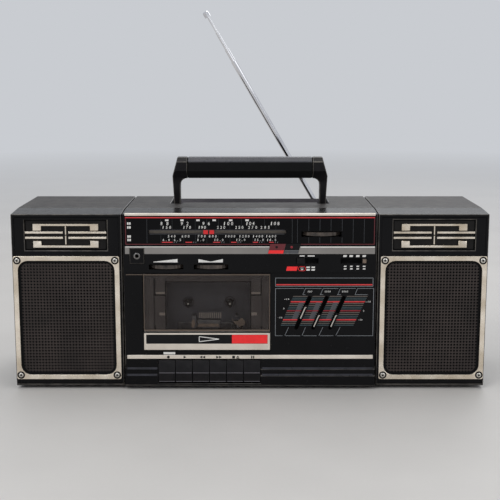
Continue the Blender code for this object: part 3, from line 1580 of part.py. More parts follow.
def aerial_section(index):
    """A thinner tube that slides in the one before it; the last is solid and carries the tip."""
    start = TUBE_START + TUBE_LENGTH + sum(TUBE_EXPOSED[:index])
    end = start + TUBE_EXPOSED[index]
    foot_end = start - TUBE_HIDDEN[index]
    radius = TUBE_RADII[index + 1]
    last = index == len(TUBE_EXPOSED) - 1
    if last:
        profile = [
            (0, end + TIP_LENGTH),
            (TIP_RADIUS * 0.8, end + TIP_LENGTH),
            (TIP_RADIUS, end + TIP_LENGTH * 0.8),
            (TIP_RADIUS, end),
            (radius, end),
            (radius, foot_end),
            (0, foot_end),
        ]
    else:
        profile = [
            (0, foot_end + TUBE_WALL * 2),
            (radius - TUBE_WALL, foot_end + TUBE_WALL * 2),
            (radius - TUBE_WALL, end),
            (radius, end),
            (radius, foot_end),
            (0, foot_end),
        ]
    name = "aerial_tip" if last else "aerial_section_%d" % (index + 2)
    piece = turned(name, profile, "Z", (0, 0, 0), SMALL_SIDES, part=True)
    piece.matrix_world = aerial_matrix()
    return chromed(piece)


# Back of the centre unit


def battery_lid():
    piece = block(
        "battery_lid",
        around(-BATTERY_OFFSET, BATTERY_WIDTH + LID_MARGIN * 2),
        (BULGE_Y - LID_THICKNESS, BULGE_Y),
        (BATTERY_Z - LID_MARGIN, BATTERY_Z + BATTERY_HEIGHT + LID_MARGIN),
        part=True,
    )
    pitch = BATTERY_HEIGHT / (LID_RIBS * 3)
    top = BATTERY_Z + BATTERY_HEIGHT
    grooves = []
    for rib in range(LID_RIBS):
        low = top - (rib + 1) * pitch
        grooves.append((
            around(-BATTERY_OFFSET, BATTERY_WIDTH / 4),
            (BULGE_Y - LID_RIB, BULGE_Y + OVERRUN),
            (low, low + pitch / 2),
        ))
    cut(piece, blocks("lid_grooves", grooves))
    pivot = (-BATTERY_OFFSET, BULGE_Y - LID_THICKNESS / 2, BATTERY_Z - LID_MARGIN + LID_THICKNESS / 2)
    return black_abs(set_pivot(piece, pivot))


def mains_inlet():
    """Recessed inlet with its two pins."""
    x = HALF_WIDTH - INLET_INSET
    z = BASE_Z + INLET_RISE
    back = BULGE_Y - GAP
    piece = block(
        "mains_inlet",
        around(x, INLET_WIDTH),
        (back - INLET_DEPTH, back),
        around(z, INLET_HEIGHT),
        part=True,
    )
    radius = INLET_HEIGHT / 2 - INLET_WALL
    half = INLET_WIDTH / 2 - INLET_WALL
    mouth = rounded_rectangle((x - half, x + half), (z - radius, z + radius), radius - GAP / 10)
    floor = back - INLET_DEPTH + INLET_WALL
    cut(piece, prism("inlet_mouth", [mouth], "XZ", (floor, back + OVERRUN)))
    for side in (-1, 1):
        start = (x + side * INLET_PIN_SPACING / 2, floor - INLET_WALL / 2, z)
        length = INLET_DEPTH - INLET_WALL * 2
        join(piece, rod("inlet_pin_%d" % side, "Y", start, length, INLET_PIN_RADIUS, SMALL_SIDES))
    return black_abs(piece)


# Speakers


def side_name(side):
    return "left" if side < 0 else "right"


def speaker_middle(side):
    return side * (SPEAKER_INNER + SPEAKER_OUTER) / 2


def grille_spans(side):
    inner = SPEAKER_INNER + FRAME_INNER_SIDE + FRAME_BORDER
    outer = SPEAKER_OUTER - FRAME_SIDE - FRAME_BORDER
    return mirrored(side, inner, outer), (FRAME_Z + FRAME_BORDER, FRAME_TOP_Z - FRAME_BORDER)


def woofer_place(side):
    across, height = grille_spans(side)
    return (sum(across) / 2, sum(height) / 2)


def tweeter_spans(side):
    inner = SPEAKER_INNER + TWEETER_SIDE + TWEETER_OFFSET
    outer = SPEAKER_OUTER - TWEETER_SIDE + TWEETER_OFFSET
    return mirrored(side, inner, outer), (TWEETER_Z, TWEETER_Z + TWEETER_HEIGHT)


def speaker_front(side):
    """Front half of a speaker case: rim, baffle, tweeter recess and the woofer's opening."""
    name = side_name(side)
    outside = [
        (SEAM_Y, BASE_Z),
        (FACE_Y + EDGE_CHAMFER, BASE_Z),
        (FACE_Y, BASE_Z + EDGE_CHAMFER),
        (FACE_Y, EDGE_Z),
        (SEAM_Y, TOP_Z),
    ]
    inside = [
        (SEAM_Y + OVERRUN, BASE_Z + WALL),
        (INSIDE_Y + TWEETER_DEPTH, BASE_Z + WALL),
        (INSIDE_Y + TWEETER_DEPTH, EDGE_Z - WALL),
        (SEAM_Y + OVERRUN, TOP_Z - WALL),
    ]
    span = mirrored(side, SPEAKER_INNER, SPEAKER_OUTER)
    piece = prism(name + "_speaker_front", [outside], "YZ", span, part=True)
    hollow_span = mirrored(side, SPEAKER_INNER + WALL, SPEAKER_OUTER - WALL)
    cut(piece, prism(name + "_front_hollow", [inside], "YZ", hollow_span))
    rim = RIM_WIDTH
    groove_x = (span[0] + rim, span[1] - rim)
    groove_z = (BASE_Z + rim, EDGE_Z - rim)
    inner_x = (groove_x[0] + RIM_GROOVE, groove_x[1] - RIM_GROOVE)
    inner_z = (groove_z[0] + RIM_GROOVE, groove_z[1] - RIM_GROOVE)
    groove = prism(
        name + "_rim_groove",
        [rectangle(groove_x, groove_z), rectangle(inner_x, inner_z)],
        "XZ",
        (FACE_Y - OVERRUN, FACE_Y + RIM_GROOVE),
    )
    across, height = tweeter_spans(side)
    recess = block(name + "_tweeter_recess", across, (FACE_Y - OVERRUN, FACE_Y + FRONT_WALL), height)
    grille_x, grille_z = grille_spans(side)
    pocket = prism(
        name + "_grille_pocket",
        [rounded_rectangle(grille_x, grille_z, FRAME_OPENING_CORNER)],
        "XZ",
        (FACE_Y - OVERRUN, FACE_Y + GRILLE_POCKET),
    )
    x, z = woofer_place(side)
    depth = FRONT_WALL + TWEETER_DEPTH + OVERRUN * 2
    start = (x, FACE_Y - OVERRUN, z)
    opening = rod(name + "_woofer_hole", "Y", start, depth, woofer_radius(side), FINE_SIDES)
    tweeter_z = sum(height) / 2
    throat = rod(
        name + "_tweeter_hole",
        "Y",
        (sum(across) / 2, FACE_Y - OVERRUN, tweeter_z),
        depth,
        DRIVER_RADIUS - OVERRUN,
        ROUND_SIDES,
    )
    cut(piece, groove, recess, pocket, opening, throat)
    return black_abs(piece)


def woofer_radius(side):
    across, height = grille_spans(side)
    fit = min(across[1] - across[0], height[1] - height[0]) / 2 - GAP * 10
    return min(WOOFER_RADIUS, fit)


def speaker_back(side):
    """Rear half of a speaker case, with the rails that hang it on the centre unit."""
    name = side_name(side)
    span = mirrored(side, SPEAKER_INNER, SPEAKER_OUTER)
    piece = block(name + "_speaker_back", span, (SEAM_Y + GAP, REAR_Y), (BASE_Z, TOP_Z), part=True)
    hollow = block(
        name + "_back_hollow",
        mirrored(side, SPEAKER_INNER + WALL, SPEAKER_OUTER - WALL),
        (SEAM_Y - OVERRUN, REAR_Y - WALL),
        (BASE_Z + WALL, TOP_Z - WALL),
    )
    cut(piece, hollow)
    for level in RAIL_ZS:
        inner = HALF_WIDTH - WALL - RAIL_HEAD_THICKNESS - GAP
        outer = SPEAKER_INNER + WALL / 2
        outline = tee(inner, outer, RAIL_NECK, RAIL_HEAD, RAIL_HEAD_THICKNESS, side, level)
        rail_name = "%s_rail_%d" % (name, RAIL_ZS.index(level))
        join(piece, prism(rail_name, [outline], "XZ", (RAIL_Y, RAIL_Y + RAIL_LENGTH)))
    terminal_box = block(
        name + "_terminal_box",
        around(speaker_middle(side), TERMINAL_WIDTH + WALL * 2),
        (REAR_Y - TERMINAL_DEPTH - WALL, REAR_Y - WALL / 2),
        around(BASE_Z + TERMINAL_RISE, TERMINAL_HEIGHT + WALL * 2),
    )
    terminal_recess = block(
        name + "_terminal_recess",
        around(speaker_middle(side), TERMINAL_WIDTH),
        (REAR_Y - TERMINAL_DEPTH, REAR_Y + OVERRUN),
        around(BASE_Z + TERMINAL_RISE, TERMINAL_HEIGHT),
    )
    join(piece, terminal_box)
    cut(piece, terminal_recess)
    return black_abs(piece)


def speaker_frame(side):
    """Silver frame round the grille, with an opening that has rounded corners."""
    name = side_name(side)
    outer_x = mirrored(side, SPEAKER_INNER + FRAME_INNER_SIDE, SPEAKER_OUTER - FRAME_SIDE)
    outer_z = (FRAME_Z, FRAME_TOP_Z)
    grille_x, grille_z = grille_spans(side)
    outlines = [
        rounded_rectangle(outer_x, outer_z, FRAME_CORNER, 2),
        rounded_rectangle(grille_x, grille_z, FRAME_OPENING_CORNER),
    ]
    depth = (FACE_Y - FRAME_PROUD, FACE_Y - GAP)
    piece = prism(name + "_speaker_frame", outlines, "XZ", depth, part=True, rounded=True)
    return satin_silver(piece)


def speaker_grille(side):
    """Pressed metal sheet that fills the frame's opening."""
    name = side_name(side)
    grille_x, grille_z = grille_spans(side)
    shrink_x = (grille_x[0] + GAP, grille_x[1] - GAP)
    shrink_z = (grille_z[0] + GAP, grille_z[1] - GAP)
    outline = rounded_rectangle(shrink_x, shrink_z, FRAME_OPENING_CORNER - GAP)
    back = FACE_Y + GRILLE_POCKET - GAP
    depth = (back - GRILLE_THICKNESS, back)
    piece = prism(name + "_speaker_grille", [outline], "XZ", depth, part=True, rounded=True)
    return finish(piece, BLACK, 0.5, 0.5)


def woofer(side):
    """Cone, basket and magnet, held by its flange behind the baffle."""
    name = side_name(side)
    x, z = woofer_place(side)
    radius = woofer_radius(side)
    front = FRONT_WALL + TWEETER_DEPTH + GAP
    flange = front + WOOFER_FLANGE / 2
    end = front + WOOFER_LENGTH
    cone_depth = front + WOOFER_LENGTH / 2
    profile = [
        (0, end + MAGNET_LENGTH),
        (MAGNET_RADIUS, end + MAGNET_LENGTH),
        (MAGNET_RADIUS, end),
        (radius - WOOFER_FLANGE, flange + WOOFER_FLANGE),
        (radius + WOOFER_FLANGE, flange),
        (radius + WOOFER_FLANGE, front),
        (radius - WOOFER_FLANGE / 2, front),
        (radius - WOOFER_FLANGE * 2, front + WOOFER_FLANGE / 2),
        (DRIVER_RADIUS, cone_depth),
        (0, cone_depth - WOOFER_FLANGE),
    ]
    piece = turned(name + "_woofer", profile, "Y", (x, FACE_Y, z), FINE_SIDES, part=True)
    return finish(piece, PAPER, 0.7)


def tweeter(side):
    name = side_name(side)
    across, height = tweeter_spans(side)
    front = FRONT_WALL + TWEETER_DEPTH + GAP
    profile = [
        (0, front + DRIVER_LENGTH),
        (DRIVER_RADIUS, front + DRIVER_LENGTH),
        (DRIVER_RADIUS, front),
        (DRIVER_RADIUS / 2, front),
        (0, front + DRIVER_RADIUS / 4),
    ]
    centre = (sum(across) / 2, FACE_Y, sum(height) / 2)
    return finish(turned(name + "_tweeter", profile, "Y", centre, ROUND_SIDES, part=True), STEEL, 0.5, 0.6)


def tweeter_grille(side):
    """Plate in the tweeter's recess, with brackets and bars standing out to the face."""
    name = side_name(side)
    across, height = tweeter_spans(side)
    xs = (across[0] + GAP, across[1] - GAP)
    zs = (height[0] + GAP, height[1] - GAP)
    back = FACE_Y + FRONT_WALL - GAP
    front = back - TWEETER_PLATE
    piece = block(name + "_tweeter_grille", xs, (front, back), zs, part=True)
    depth = (FACE_Y - BRACKET_PROUD, back - TWEETER_PLATE / 2)
    join(piece, *tweeter_brackets(name, xs, zs, depth), *tweeter_bars(name, xs, zs, depth))
    return black_abs(piece)


def tweeter_brackets(name, xs, zs, depth):
    """Two long brackets, one above the other, whose square ends turn towards each other."""
    left, right = xs[0] + BRACKET_INSET, xs[1] - BRACKET_INSET
    brackets = []
    for label, edge, sign in (("top", zs[1] - BRACKET_TOP, -1), ("low", zs[0] + BRACKET_FOOT, 1)):
        tip = edge + sign * (BAR_THICKNESS + BRACKET_DROP)
        shelf = edge + sign * BAR_THICKNESS
        outline = [
            (left, edge),
            (right, edge),
            (right, tip),
            (right - BRACKET_END, tip),
            (right - BRACKET_END, shelf),
            (left + BRACKET_END, shelf),
            (left + BRACKET_END, tip),
            (left, tip),
        ]
        brackets.append(prism("%s_bracket_%s" % (name, label), [outline], "XZ", depth))
    return brackets


def tweeter_bars(name, xs, zs, depth):
    """Four level bars that leave a gap in the middle, and two upright ones in that gap."""
    x = sum(xs) / 2
    z = sum(zs) / 2
    bars = []
    for row in (-1, 1):
        level = around(z + row * BAR_SPACING / 2, BAR_THICKNESS)
        for half, span in enumerate(((xs[0] + GAP, x - BAR_BREAK / 2), (x + BAR_BREAK / 2, xs[1] - GAP))):
            bars.append(block("%s_bar_%d_%d" % (name, row, half), span, depth, level))
        tall = tuple(z + value for value in mirrored(row, UPRIGHT_BREAK / 2, UPRIGHT_REACH))
        bars.append(block("%s_upright_%d" % (name, row), around(x, UPRIGHT_WIDTH), depth, tall))
    return bars


KEY_NAMES = ("record", "play", "rewind", "forward", "stop", "pause")


def build():
    front_cabinet()
    rear_cabinet()
    for side in (-1, 1):
        foot("front_foot_" + side_name(side), side, FRONT_FOOT_BACK)
        foot("rear_foot_" + side_name(side), side, REAR_FOOT_BACK)
    trim_bar("top_trim_bar", DIAL_TOP_Z + GAP * 3, TOP_BAR_HEIGHT, TOP_BAR_DEPTH)
    trim_bar("lower_trim_bar", LOWER_BAR_Z + GAP, LOWER_BAR_HEIGHT, LOWER_BAR_DEPTH)
    dial_panel()
    status_band()
    phones_jack()
    thumbwheel("tuning_wheel", (TUNING_X, TUNING_WHEEL_Y, TUNING_Z), TUNING_WHEEL_RADIUS)
    thumbwheel("volume_wheel", (VOLUME_X, LEVEL_WHEEL_Y, LEVEL_Z), LEVEL_WHEEL_RADIUS)
    thumbwheel("balance_wheel", (BALANCE_X, LEVEL_WHEEL_Y, LEVEL_Z), LEVEL_WHEEL_RADIUS)
    dial_pointer()
    function_switch()
    band_switch()
    for index in range(EQUALIZER_SLOTS):
        equalizer_slider(index)
    cassette_door()
    cassette_window()
    door_trim()
    deck_plate()
    reel_spindle("supply_spindle", -1)
    reel_spindle("take_up_spindle", 1)
    capstan_flywheel()
    head_carriage()
    pinch_roller()
    plain_steel(shaft_rod("key_shaft", 0, 0, True))
    for index, name in enumerate(KEY_NAMES):
        piano_key(index, name + "_key")
    main_board()
    handle_frame()
    handle_grip()
    aerial_post()
    aerial_tube()
    for index in range(len(TUBE_EXPOSED)):
        aerial_section(index)
    battery_lid()
    mains_inlet()
    for side in (-1, 1):
        speaker_front(side)
        speaker_back(side)
        speaker_frame(side)
        speaker_grille(side)
        woofer(side)
        tweeter(side)
        tweeter_grille(side)


build()
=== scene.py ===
"""The portable stereo dressed for the picture: moulded cases, plated trim, pierced grilles and printed scales.

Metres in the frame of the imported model. Places of printed things are in millimetres: x from the middle of
the machine, z above the table, and depths counted back from the flat front face.
"""
import json
from math import cos, pi, radians, sin

import bmesh
import bpy
from mathutils import Matrix, Vector


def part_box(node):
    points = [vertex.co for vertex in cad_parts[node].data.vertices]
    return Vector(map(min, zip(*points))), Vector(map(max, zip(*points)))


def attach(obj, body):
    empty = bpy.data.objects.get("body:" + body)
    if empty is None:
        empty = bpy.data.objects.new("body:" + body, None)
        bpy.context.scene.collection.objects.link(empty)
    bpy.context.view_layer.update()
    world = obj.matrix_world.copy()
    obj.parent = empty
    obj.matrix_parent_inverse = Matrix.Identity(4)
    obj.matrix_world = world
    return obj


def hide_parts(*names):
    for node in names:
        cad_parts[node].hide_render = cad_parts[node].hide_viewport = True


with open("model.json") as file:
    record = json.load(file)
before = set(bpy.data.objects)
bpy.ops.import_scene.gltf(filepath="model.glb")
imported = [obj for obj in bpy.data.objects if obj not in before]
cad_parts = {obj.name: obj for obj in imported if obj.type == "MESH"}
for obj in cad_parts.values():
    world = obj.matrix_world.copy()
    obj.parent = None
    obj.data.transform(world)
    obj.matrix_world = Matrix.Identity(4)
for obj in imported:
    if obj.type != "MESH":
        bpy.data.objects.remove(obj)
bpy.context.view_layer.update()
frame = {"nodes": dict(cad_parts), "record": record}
SCENE = bpy.context.scene
CAD = frame["nodes"]
BODY_OF = {node: body for body, nodes in frame["record"]["behaviour"]["bodies"].items() for node in nodes}
MM = 0.001
WELD = 1e-6
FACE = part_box("dial_panel")[0][1]
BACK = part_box("battery_lid")[1][1]

# Camera: the photograph's, solved from the edges of the case
CAMERA_AWAY, CAMERA_UP = 1.027, 0.321
CAMERA_PITCH, CAMERA_LENS = 80.21, 75.17
camera = bpy.data.objects.new("camera", bpy.data.cameras.new("camera"))
SCENE.collection.objects.link(camera)
camera.location = (0, FACE - CAMERA_AWAY, CAMERA_UP)
camera.rotation_euler = (radians(CAMERA_PITCH), 0, 0)
camera.data.lens = CAMERA_LENS
camera.data.sensor_width = 36
SCENE.camera = camera


# Materials

DUST_COLOUR = "#8b8580"
DUST_DRIFT = 14


def srgb(code):
    """Linear colour of an sRGB hex value."""
    parts = [int(code[i:i + 2], 16) / 255 for i in (1, 3, 5)]
    return [part / 12.92 if part <= 0.04045 else ((part + 0.055) / 1.055) ** 2.4 for part in parts] + [1.0]


def node(tree, kind, inputs=None, **settings):
    """A node with its settings and inputs: a socket is linked, anything else is a value."""
    made = tree.nodes.new(kind)
    for key, value in settings.items():
        setattr(made, key, value)
    for key, value in (inputs or {}).items():
        if isinstance(value, bpy.types.NodeSocket):
            tree.links.new(value, made.inputs[key])
        else:
            made.inputs[key].default_value = value
    return made


def cloud(tree, size, low, high, stretch=(1, 1, 1), detail=3.0):
    """Soft patches of that size in millimetres, as a value between low and high."""
    place = node(tree, "ShaderNodeTexCoord").outputs["Object"]
    scale = [1000 / (size * part) for part in stretch]
    mapped = node(tree, "ShaderNodeMapping", {"Vector": place, "Scale": scale})
    noise = node(tree, "ShaderNodeTexNoise", {"Vector": mapped.outputs[0], "Scale": 1.0, "Detail": detail})
    span = {"Value": noise.outputs["Fac"], "From Min": 0.3, "From Max": 0.7, "To Min": low, "To Max": high}
    return node(tree, "ShaderNodeMapRange", span).outputs["Result"]


def finish(name, colours, rough, patch, grain, relief, stretch=(1, 1, 1), dust=0.0, **sockets):
    """A surface: two colours in patches, a span of roughness in grains, and their relief, all in millimetres."""
    made = bpy.data.materials.new(name)
    made.use_nodes = True
    tree = made.node_tree
    shader = tree.nodes["Principled BSDF"]
    for key, value in sockets.items():
        shader.inputs[key.replace("_", " ")].default_value = value
    tone = node(tree, "ShaderNodeMix", {
        0: cloud(tree, patch, 0.0, 1.0),
        6: srgb(colours[0]),
        7: srgb(colours[1]),
    }, data_type="RGBA").outputs[2]
    gloss = cloud(tree, grain, rough[0], rough[1], stretch)
    if dust:
        up = node(tree, "ShaderNodeTexCoord").outputs["Normal"]
        level = node(tree, "ShaderNodeSeparateXYZ", {0: up}).outputs[2]
        lying = {"Value": level, "From Min": 0.5, "From Max": 0.95, "To Min": 0.0, "To Max": dust}
        lying = node(tree, "ShaderNodeMapRange", lying).outputs["Result"]
        drift = cloud(tree, DUST_DRIFT, 0.35, 1.0, detail=6.0)
        lying = node(tree, "ShaderNodeMath", {0: lying, 1: drift}, operation="MULTIPLY").outputs[0]
        tone = node(tree, "ShaderNodeMix", {0: lying, 6: tone, 7: srgb(DUST_COLOUR)}, data_type="RGBA").outputs[2]
    tree.links.new(tone, shader.inputs["Base Color"])
    tree.links.new(gloss, shader.inputs["Roughness"])
    if relief:
        bump = {"Height": cloud(tree, grain, 0.0, 1.0, stretch), "Distance": relief * MM, "Strength": 1.0}
        tree.links.new(node(tree, "ShaderNodeBump", bump).outputs["Normal"], shader.inputs["Normal"])
    return made


# Black ABS moulded in a polished tool: a smooth skin with a faint flow ripple and fine rubbed patches
POLISHED_ABS = finish("polished_abs", ("#0a0a0c", "#0f0f11"), (0.18, 0.28), 40, 6, 0.005, dust=0.06,
                      Specular_IOR_Level=0.13)
# Black ABS moulded in a spark-eroded tool: a matt grain of about 0.2 mm, drawn at 0.9 mm so that it shows
SPARKED_ABS = finish("spark_eroded_abs", ("#101012", "#161618"), (0.46, 0.60), 45, 0.9, 0.05, dust=0.24,
                     Specular_IOR_Level=0.24)
# A pale grey on the same ABS: painted light on the shaded inner side of the lip behind the handle, and a painted
# highlight with dust along the ridges of the keys
DUST_AND_LIGHT_ABS = finish("dusty_abs", ("#69666a", "#757278"), (0.6, 0.75), 18, 0.9, 0.03, Specular_IOR_Level=0.2)
# The same ABS where hands and shelves have rubbed an edge: the grain is gone and it is paler and smoother. On the
# rounded edges it is also a painted highlight
RUBBED_AND_HIGHLIGHT_ABS = finish("rubbed_abs", ("#302e2d", "#645f59"), (0.25, 0.40), 9, 3, 0.0, Specular_IOR_Level=0.35)
# The same ABS on the slopes of the chin, dark still, with a broad cold sheen: a painted sheen where the slopes face
# the light
PAINTED_SHEEN_ABS = finish("buffed_abs", ("#1b1b20", "#2c2c34"), (0.25, 0.40), 9, 3, 0.0, Specular_IOR_Level=0.30)
# Satin black ABS of keys and knobs: finer than the case, with the dull bloom that fingers leave
KEY_ABS = finish("satin_key_abs", ("#0f0e10", "#191719"), (0.30, 0.44), 7, 1.2, 0.02, dust=0.12,
                 Specular_IOR_Level=0.18)
# Soft PVC sleeve of the grip: dead matt with a leather-like grain of 1 mm
GRIP_PVC = finish("grained_pvc", ("#09090a", "#0e0e0f"), (0.50, 0.66), 12, 1.1, 0.08, dust=0.10,
                  Specular_IOR_Level=0.15)
# The top of the same sleeve, smoother and grey: a painted sheen where the top faces the light
TOP_SHEEN_PVC = finish("palm_polished_pvc", ("#3a3a3f", "#47464b"), (0.22, 0.36), 16, 4, 0.0, Specular_IOR_Level=0.45)
# Acrylic panel printed black from behind: deep colour under a clear hard gloss with faint wipe marks
PRINTED_ACRYLIC = finish("back_printed_acrylic", ("#08080a", "#0c0c0e"), (0.06, 0.16), 30, 5, 0.0, (4, 1, 1),
                         Specular_IOR_Level=0.10)
# Warm grey satin paint with a little metal powder in it: slight sparkle, even tone
BAND_PAINT = finish("powder_grey_paint", ("#85817d", "#918d89"), (0.34, 0.46), 30, 0.8, 0.01, Metallic=0.25)
# Aluminium strip brushed along its length, then clear anodised: long streaks of sheen, a warm cast
BRUSHED_ALUMINIUM = finish("brushed_anodised_aluminium", ("#fdf5e9", "#e6dccf"), (0.30, 0.46), 30, 0.5, 0.01,
                           (60, 1, 1), Metallic=1.0)
# ABS plated with bright nickel: nearly a mirror, gone cloudy in patches, with a yellow tinge
PLATED_ABS = finish("bright_nickel_plate", ("#fff5e6", "#d4c6b1"), (0.12, 0.40), 22, 9, 0.05, Metallic=1.0)
# Chromium plate on brass tube: cold and sharp, with fine rings left by sliding
CHROME = finish("chromium_plate", ("#ececee", "#d2d2d6"), (0.05, 0.14), 20, 0.6, 0.0, (3, 3, 1), Metallic=1.0)
# Nickel plate on the heads of small screws: bright, with a warm cast. The same finish is a painted highlight on the
# ridges of the equalizer knobs
PLATED_STEEL_AND_HIGHLIGHT = finish("nickel_plated_steel", ("#e2ded6", "#c2beb6"), (0.15, 0.30), 3, 1.0, 0.0, Metallic=1.0)
# Zinc-plated steel of screws, shafts and the tape deck: grey with a dull crystal bloom
ZINC_STEEL = finish("zinc_plated_steel", ("#8d8b88", "#77757a"), (0.28, 0.45), 4, 1.0, 0.01, Metallic=1.0)
# Black lacquered steel sheet of the grilles: brownish with the dust that sits between the holes
LACQUERED_STEEL = finish("lacquered_steel_sheet", ("#2a2422", "#3a322f"), (0.40, 0.55), 26, 1.5, 0.01,
                         Specular_IOR_Level=0.30)
# The same sheet behind the tweeters' bars, with closer holes and hardly any shine
TWEETER_STEEL = finish("matt_steel_mesh", ("#0d0c0c", "#191716"), (0.55, 0.7), 12, 1.0, 0.0, Specular_IOR_Level=0.2)
# Matt black felt and card behind the grilles; the same black is painted shade in gaps, holes, slots and recesses
BLACK_AND_PAINTED_SHADE = finish("matt_black_card", ("#070708", "#0c0c0d"), (0.75, 0.9), 10, 1.0, 0.05,
                     Specular_IOR_Level=0.2)
# Grey-black glass-filled plastic of the deck's mouldings: matt, slightly mottled
DECK_MOULDING = finish("glass_filled_nylon", ("#5d5552", "#524a48"), (0.5, 0.65), 14, 1.5, 0.005)
# Paper pulp cone, dyed dark grey: fibres of about 2 mm and no shine
PAPER_CONE = finish("pulp_cone", ("#1b1a19", "#262422"), (0.8, 0.95), 6, 1.6, 0.06)
# Nitrile rubber of feet and rollers: dull, with scuffed patches
RUBBER = finish("moulded_rubber", ("#131313", "#1f1e1d"), (0.7, 0.85), 5, 1.0, 0.03)
# Phenolic paper board: brown resin with a darker fleck
PHENOLIC = finish("phenolic_board", ("#7a5a34", "#6a4c2a"), (0.35, 0.5), 6, 1.0, 0.02)
# Red acrylic of the pointer and the lamp windows: clear colour under gloss
RED_ACRYLIC = finish("red_acrylic", ("#e0282c", "#cc2024"), (0.12, 0.2), 8, 2, 0.0)
# Screen inks: a thin even coat with slightly ragged gloss, in each of the colours printed here
WHITE_INK = finish("white_screen_ink", ("#e9e7e3", "#dcdad6"), (0.4, 0.55), 3, 0.6, 0.0)
GREY_INK = finish("grey_screen_ink", ("#8a8e92", "#7c8084"), (0.4, 0.55), 3, 0.6, 0.0)
TEAL_INK = finish("blue_grey_screen_ink", ("#42565b", "#394c51"), (0.4, 0.55), 3, 0.6, 0.0)
BROWN_INK = finish("brown_grey_screen_ink", ("#6d635d", "#615852"), (0.4, 0.55), 3, 0.6, 0.0)
# A bronze line: painted highlight along the edges of the window and of the panel beside it
EDGE_HIGHLIGHT_INK = finish("bronze_edge_ink", ("#7a6a5c", "#6c5d50"), (0.3, 0.45), 5, 0.8, 0.0)
DEEP_RED_INK = finish("deep_red_screen_ink", ("#97202a", "#861b25"), (0.4, 0.55), 3, 0.6, 0.0)
RED_INK = finish("red_screen_ink", ("#e03c3e", "#cf3438"), (0.4, 0.55), 3, 0.6, 0.0)
BRIGHT_RED_INK = finish("bright_red_screen_ink", ("#ff2c2e", "#f62629"), (0.35, 0.5), 3, 0.6, 0.0)
PATCH_INK = finish("mid_grey_screen_ink", ("#4c4c50", "#444448"), (0.4, 0.55), 3, 0.6, 0.0)
DIM_INK = finish("dim_grey_screen_ink", ("#3e4145", "#36393c"), (0.4, 0.55), 3, 0.6, 0.0)
DARK_RED_INK = finish("dark_red_screen_ink", ("#6a1f27", "#5a1a21"), (0.4, 0.55), 3, 0.6, 0.0)
BLACK_INK = finish("black_screen_ink", ("#09090b", "#101012"), (0.35, 0.5), 3, 0.6, 0.0, Specular_IOR_Level=0.2)


def smoked_acrylic(name, colours, low, high):
    """Smoked acrylic: brown tint that still shows the deck, and a polished skin with light scratches."""
    made = finish(name, colours, (0.06, 0.16), 25, 5, 0.0, (3, 1, 1), Specular_IOR_Level=0.3)
    tree = made.node_tree
    tree.links.new(cloud(tree, 18, low, high), tree.nodes["Principled BSDF"].inputs["Alpha"])
    return made


SMOKED_ACRYLIC = smoked_acrylic("smoked_acrylic", ("#2a2421", "#302926"), 0.26, 0.34)
# Its cut edges, paler and browner than the sheet: a painted highlight where they gather the light
SMOKED_EDGE_HIGHLIGHT = smoked_acrylic("smoked_acrylic_edge", ("#6e5f54", "#7c6c60"), 0.70, 0.85)
# Satin ABS of the thumbwheels: brown patches on the fluted edge, partly dust and partly painted sheen
WHEEL_DUST_AND_SHEEN_ABS = finish("fluted_wheel_abs", ("#1c1a19", "#5a5049"), (0.35, 0.5), 9, 1.0, 0.02, Specular_IOR_Level=0.4)
# Black-chromed brass of the socket's nut: dark mirror with a bright worn rim
BLACK_CHROME = finish("black_chrome", ("#6f6d6d", "#8d8a88"), (0.15, 0.28), 3, 1.0, 0.0, Metallic=1.0)
# Tan lever of the pinch roller and the parts beside it: acetal moulded in brown, waxy. The same tan is a painted
# highlight on the band switch's ribs
BROWN_ACETAL_AND_HIGHLIGHT = finish("brown_acetal", ("#8f7c6c", "#a8917e"), (0.35, 0.5), 3, 0.8, 0.01)
# Grey-black paint on the well's back: matt and even
WELL_PAINT = finish("matt_well_paint", ("#525157", "#5a585d"), (0.5, 0.65), 12, 1.5, 0.0)
# Tan nylon of clips and guard: waxy, with a brown cast
TAN_NYLON = finish("tan_nylon", ("#a3968a", "#b3a699"), (0.4, 0.55), 4, 1.0, 0.0)
# Pale nylon of the hub caps, waxy and nearly white: painted glints on the tips of the spindles
HUB_GLINT_NYLON = finish("natural_nylon", ("#cfc9be", "#bdb6aa"), (0.4, 0.5), 3, 0.8, 0.0)


# Making pieces

SHARPEST_BEND = 0.75  # cosine of the sharpest corner that a run of edges still follows
BEVEL_ROOM = 2.2  # a face keeps its sharp edge unless it is this many bevels wide
FIGURE_HEIGHT = 0.7  # height of a figure in the font, as a share of its size


def place(name, mesh, body, slot, finishes, replaced=()):
    """Puts a mesh in the scene as a piece that moves with a body of the model."""
    made = bpy.data.objects.new(name, mesh)
    SCENE.collection.objects.link(made)
    if not mesh.materials:
        for one in finishes:
            mesh.materials.append(one)
    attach(made, body)
    if replaced:
        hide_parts(*replaced)
    return made


def as_mesh(name, bm):
    """The mesh of a finished bmesh, with its doubled points joined."""
    bmesh.ops.remove_doubles(bm, verts=bm.verts, dist=WELD)
    bmesh.ops.recalc_face_normals(bm, faces=bm.faces)
    mesh = bpy.data.meshes.new(name)
    bm.to_mesh(mesh)
    bm.free()
    return mesh


def rounded(mesh, angle=35):
    """Smooth shading that stops at edges sharper than the angle."""
    mesh.shade_smooth()
    mesh.set_sharp_from_angle(angle=radians(angle))
    return mesh


def evaluated(mesh, modifiers):
    """The mesh after modifiers, each a kind with its settings."""
    holder = bpy.data.objects.new("holder", mesh)
    SCENE.collection.objects.link(holder)
    for kind, settings in modifiers:
        modifier = holder.modifiers.new(kind, kind)
        for key, value in settings.items():
            setattr(modifier, key, value)
    made = bpy.data.meshes.new_from_object(holder.evaluated_get(bpy.context.evaluated_depsgraph_get()))
    bpy.data.objects.remove(holder)
    return made


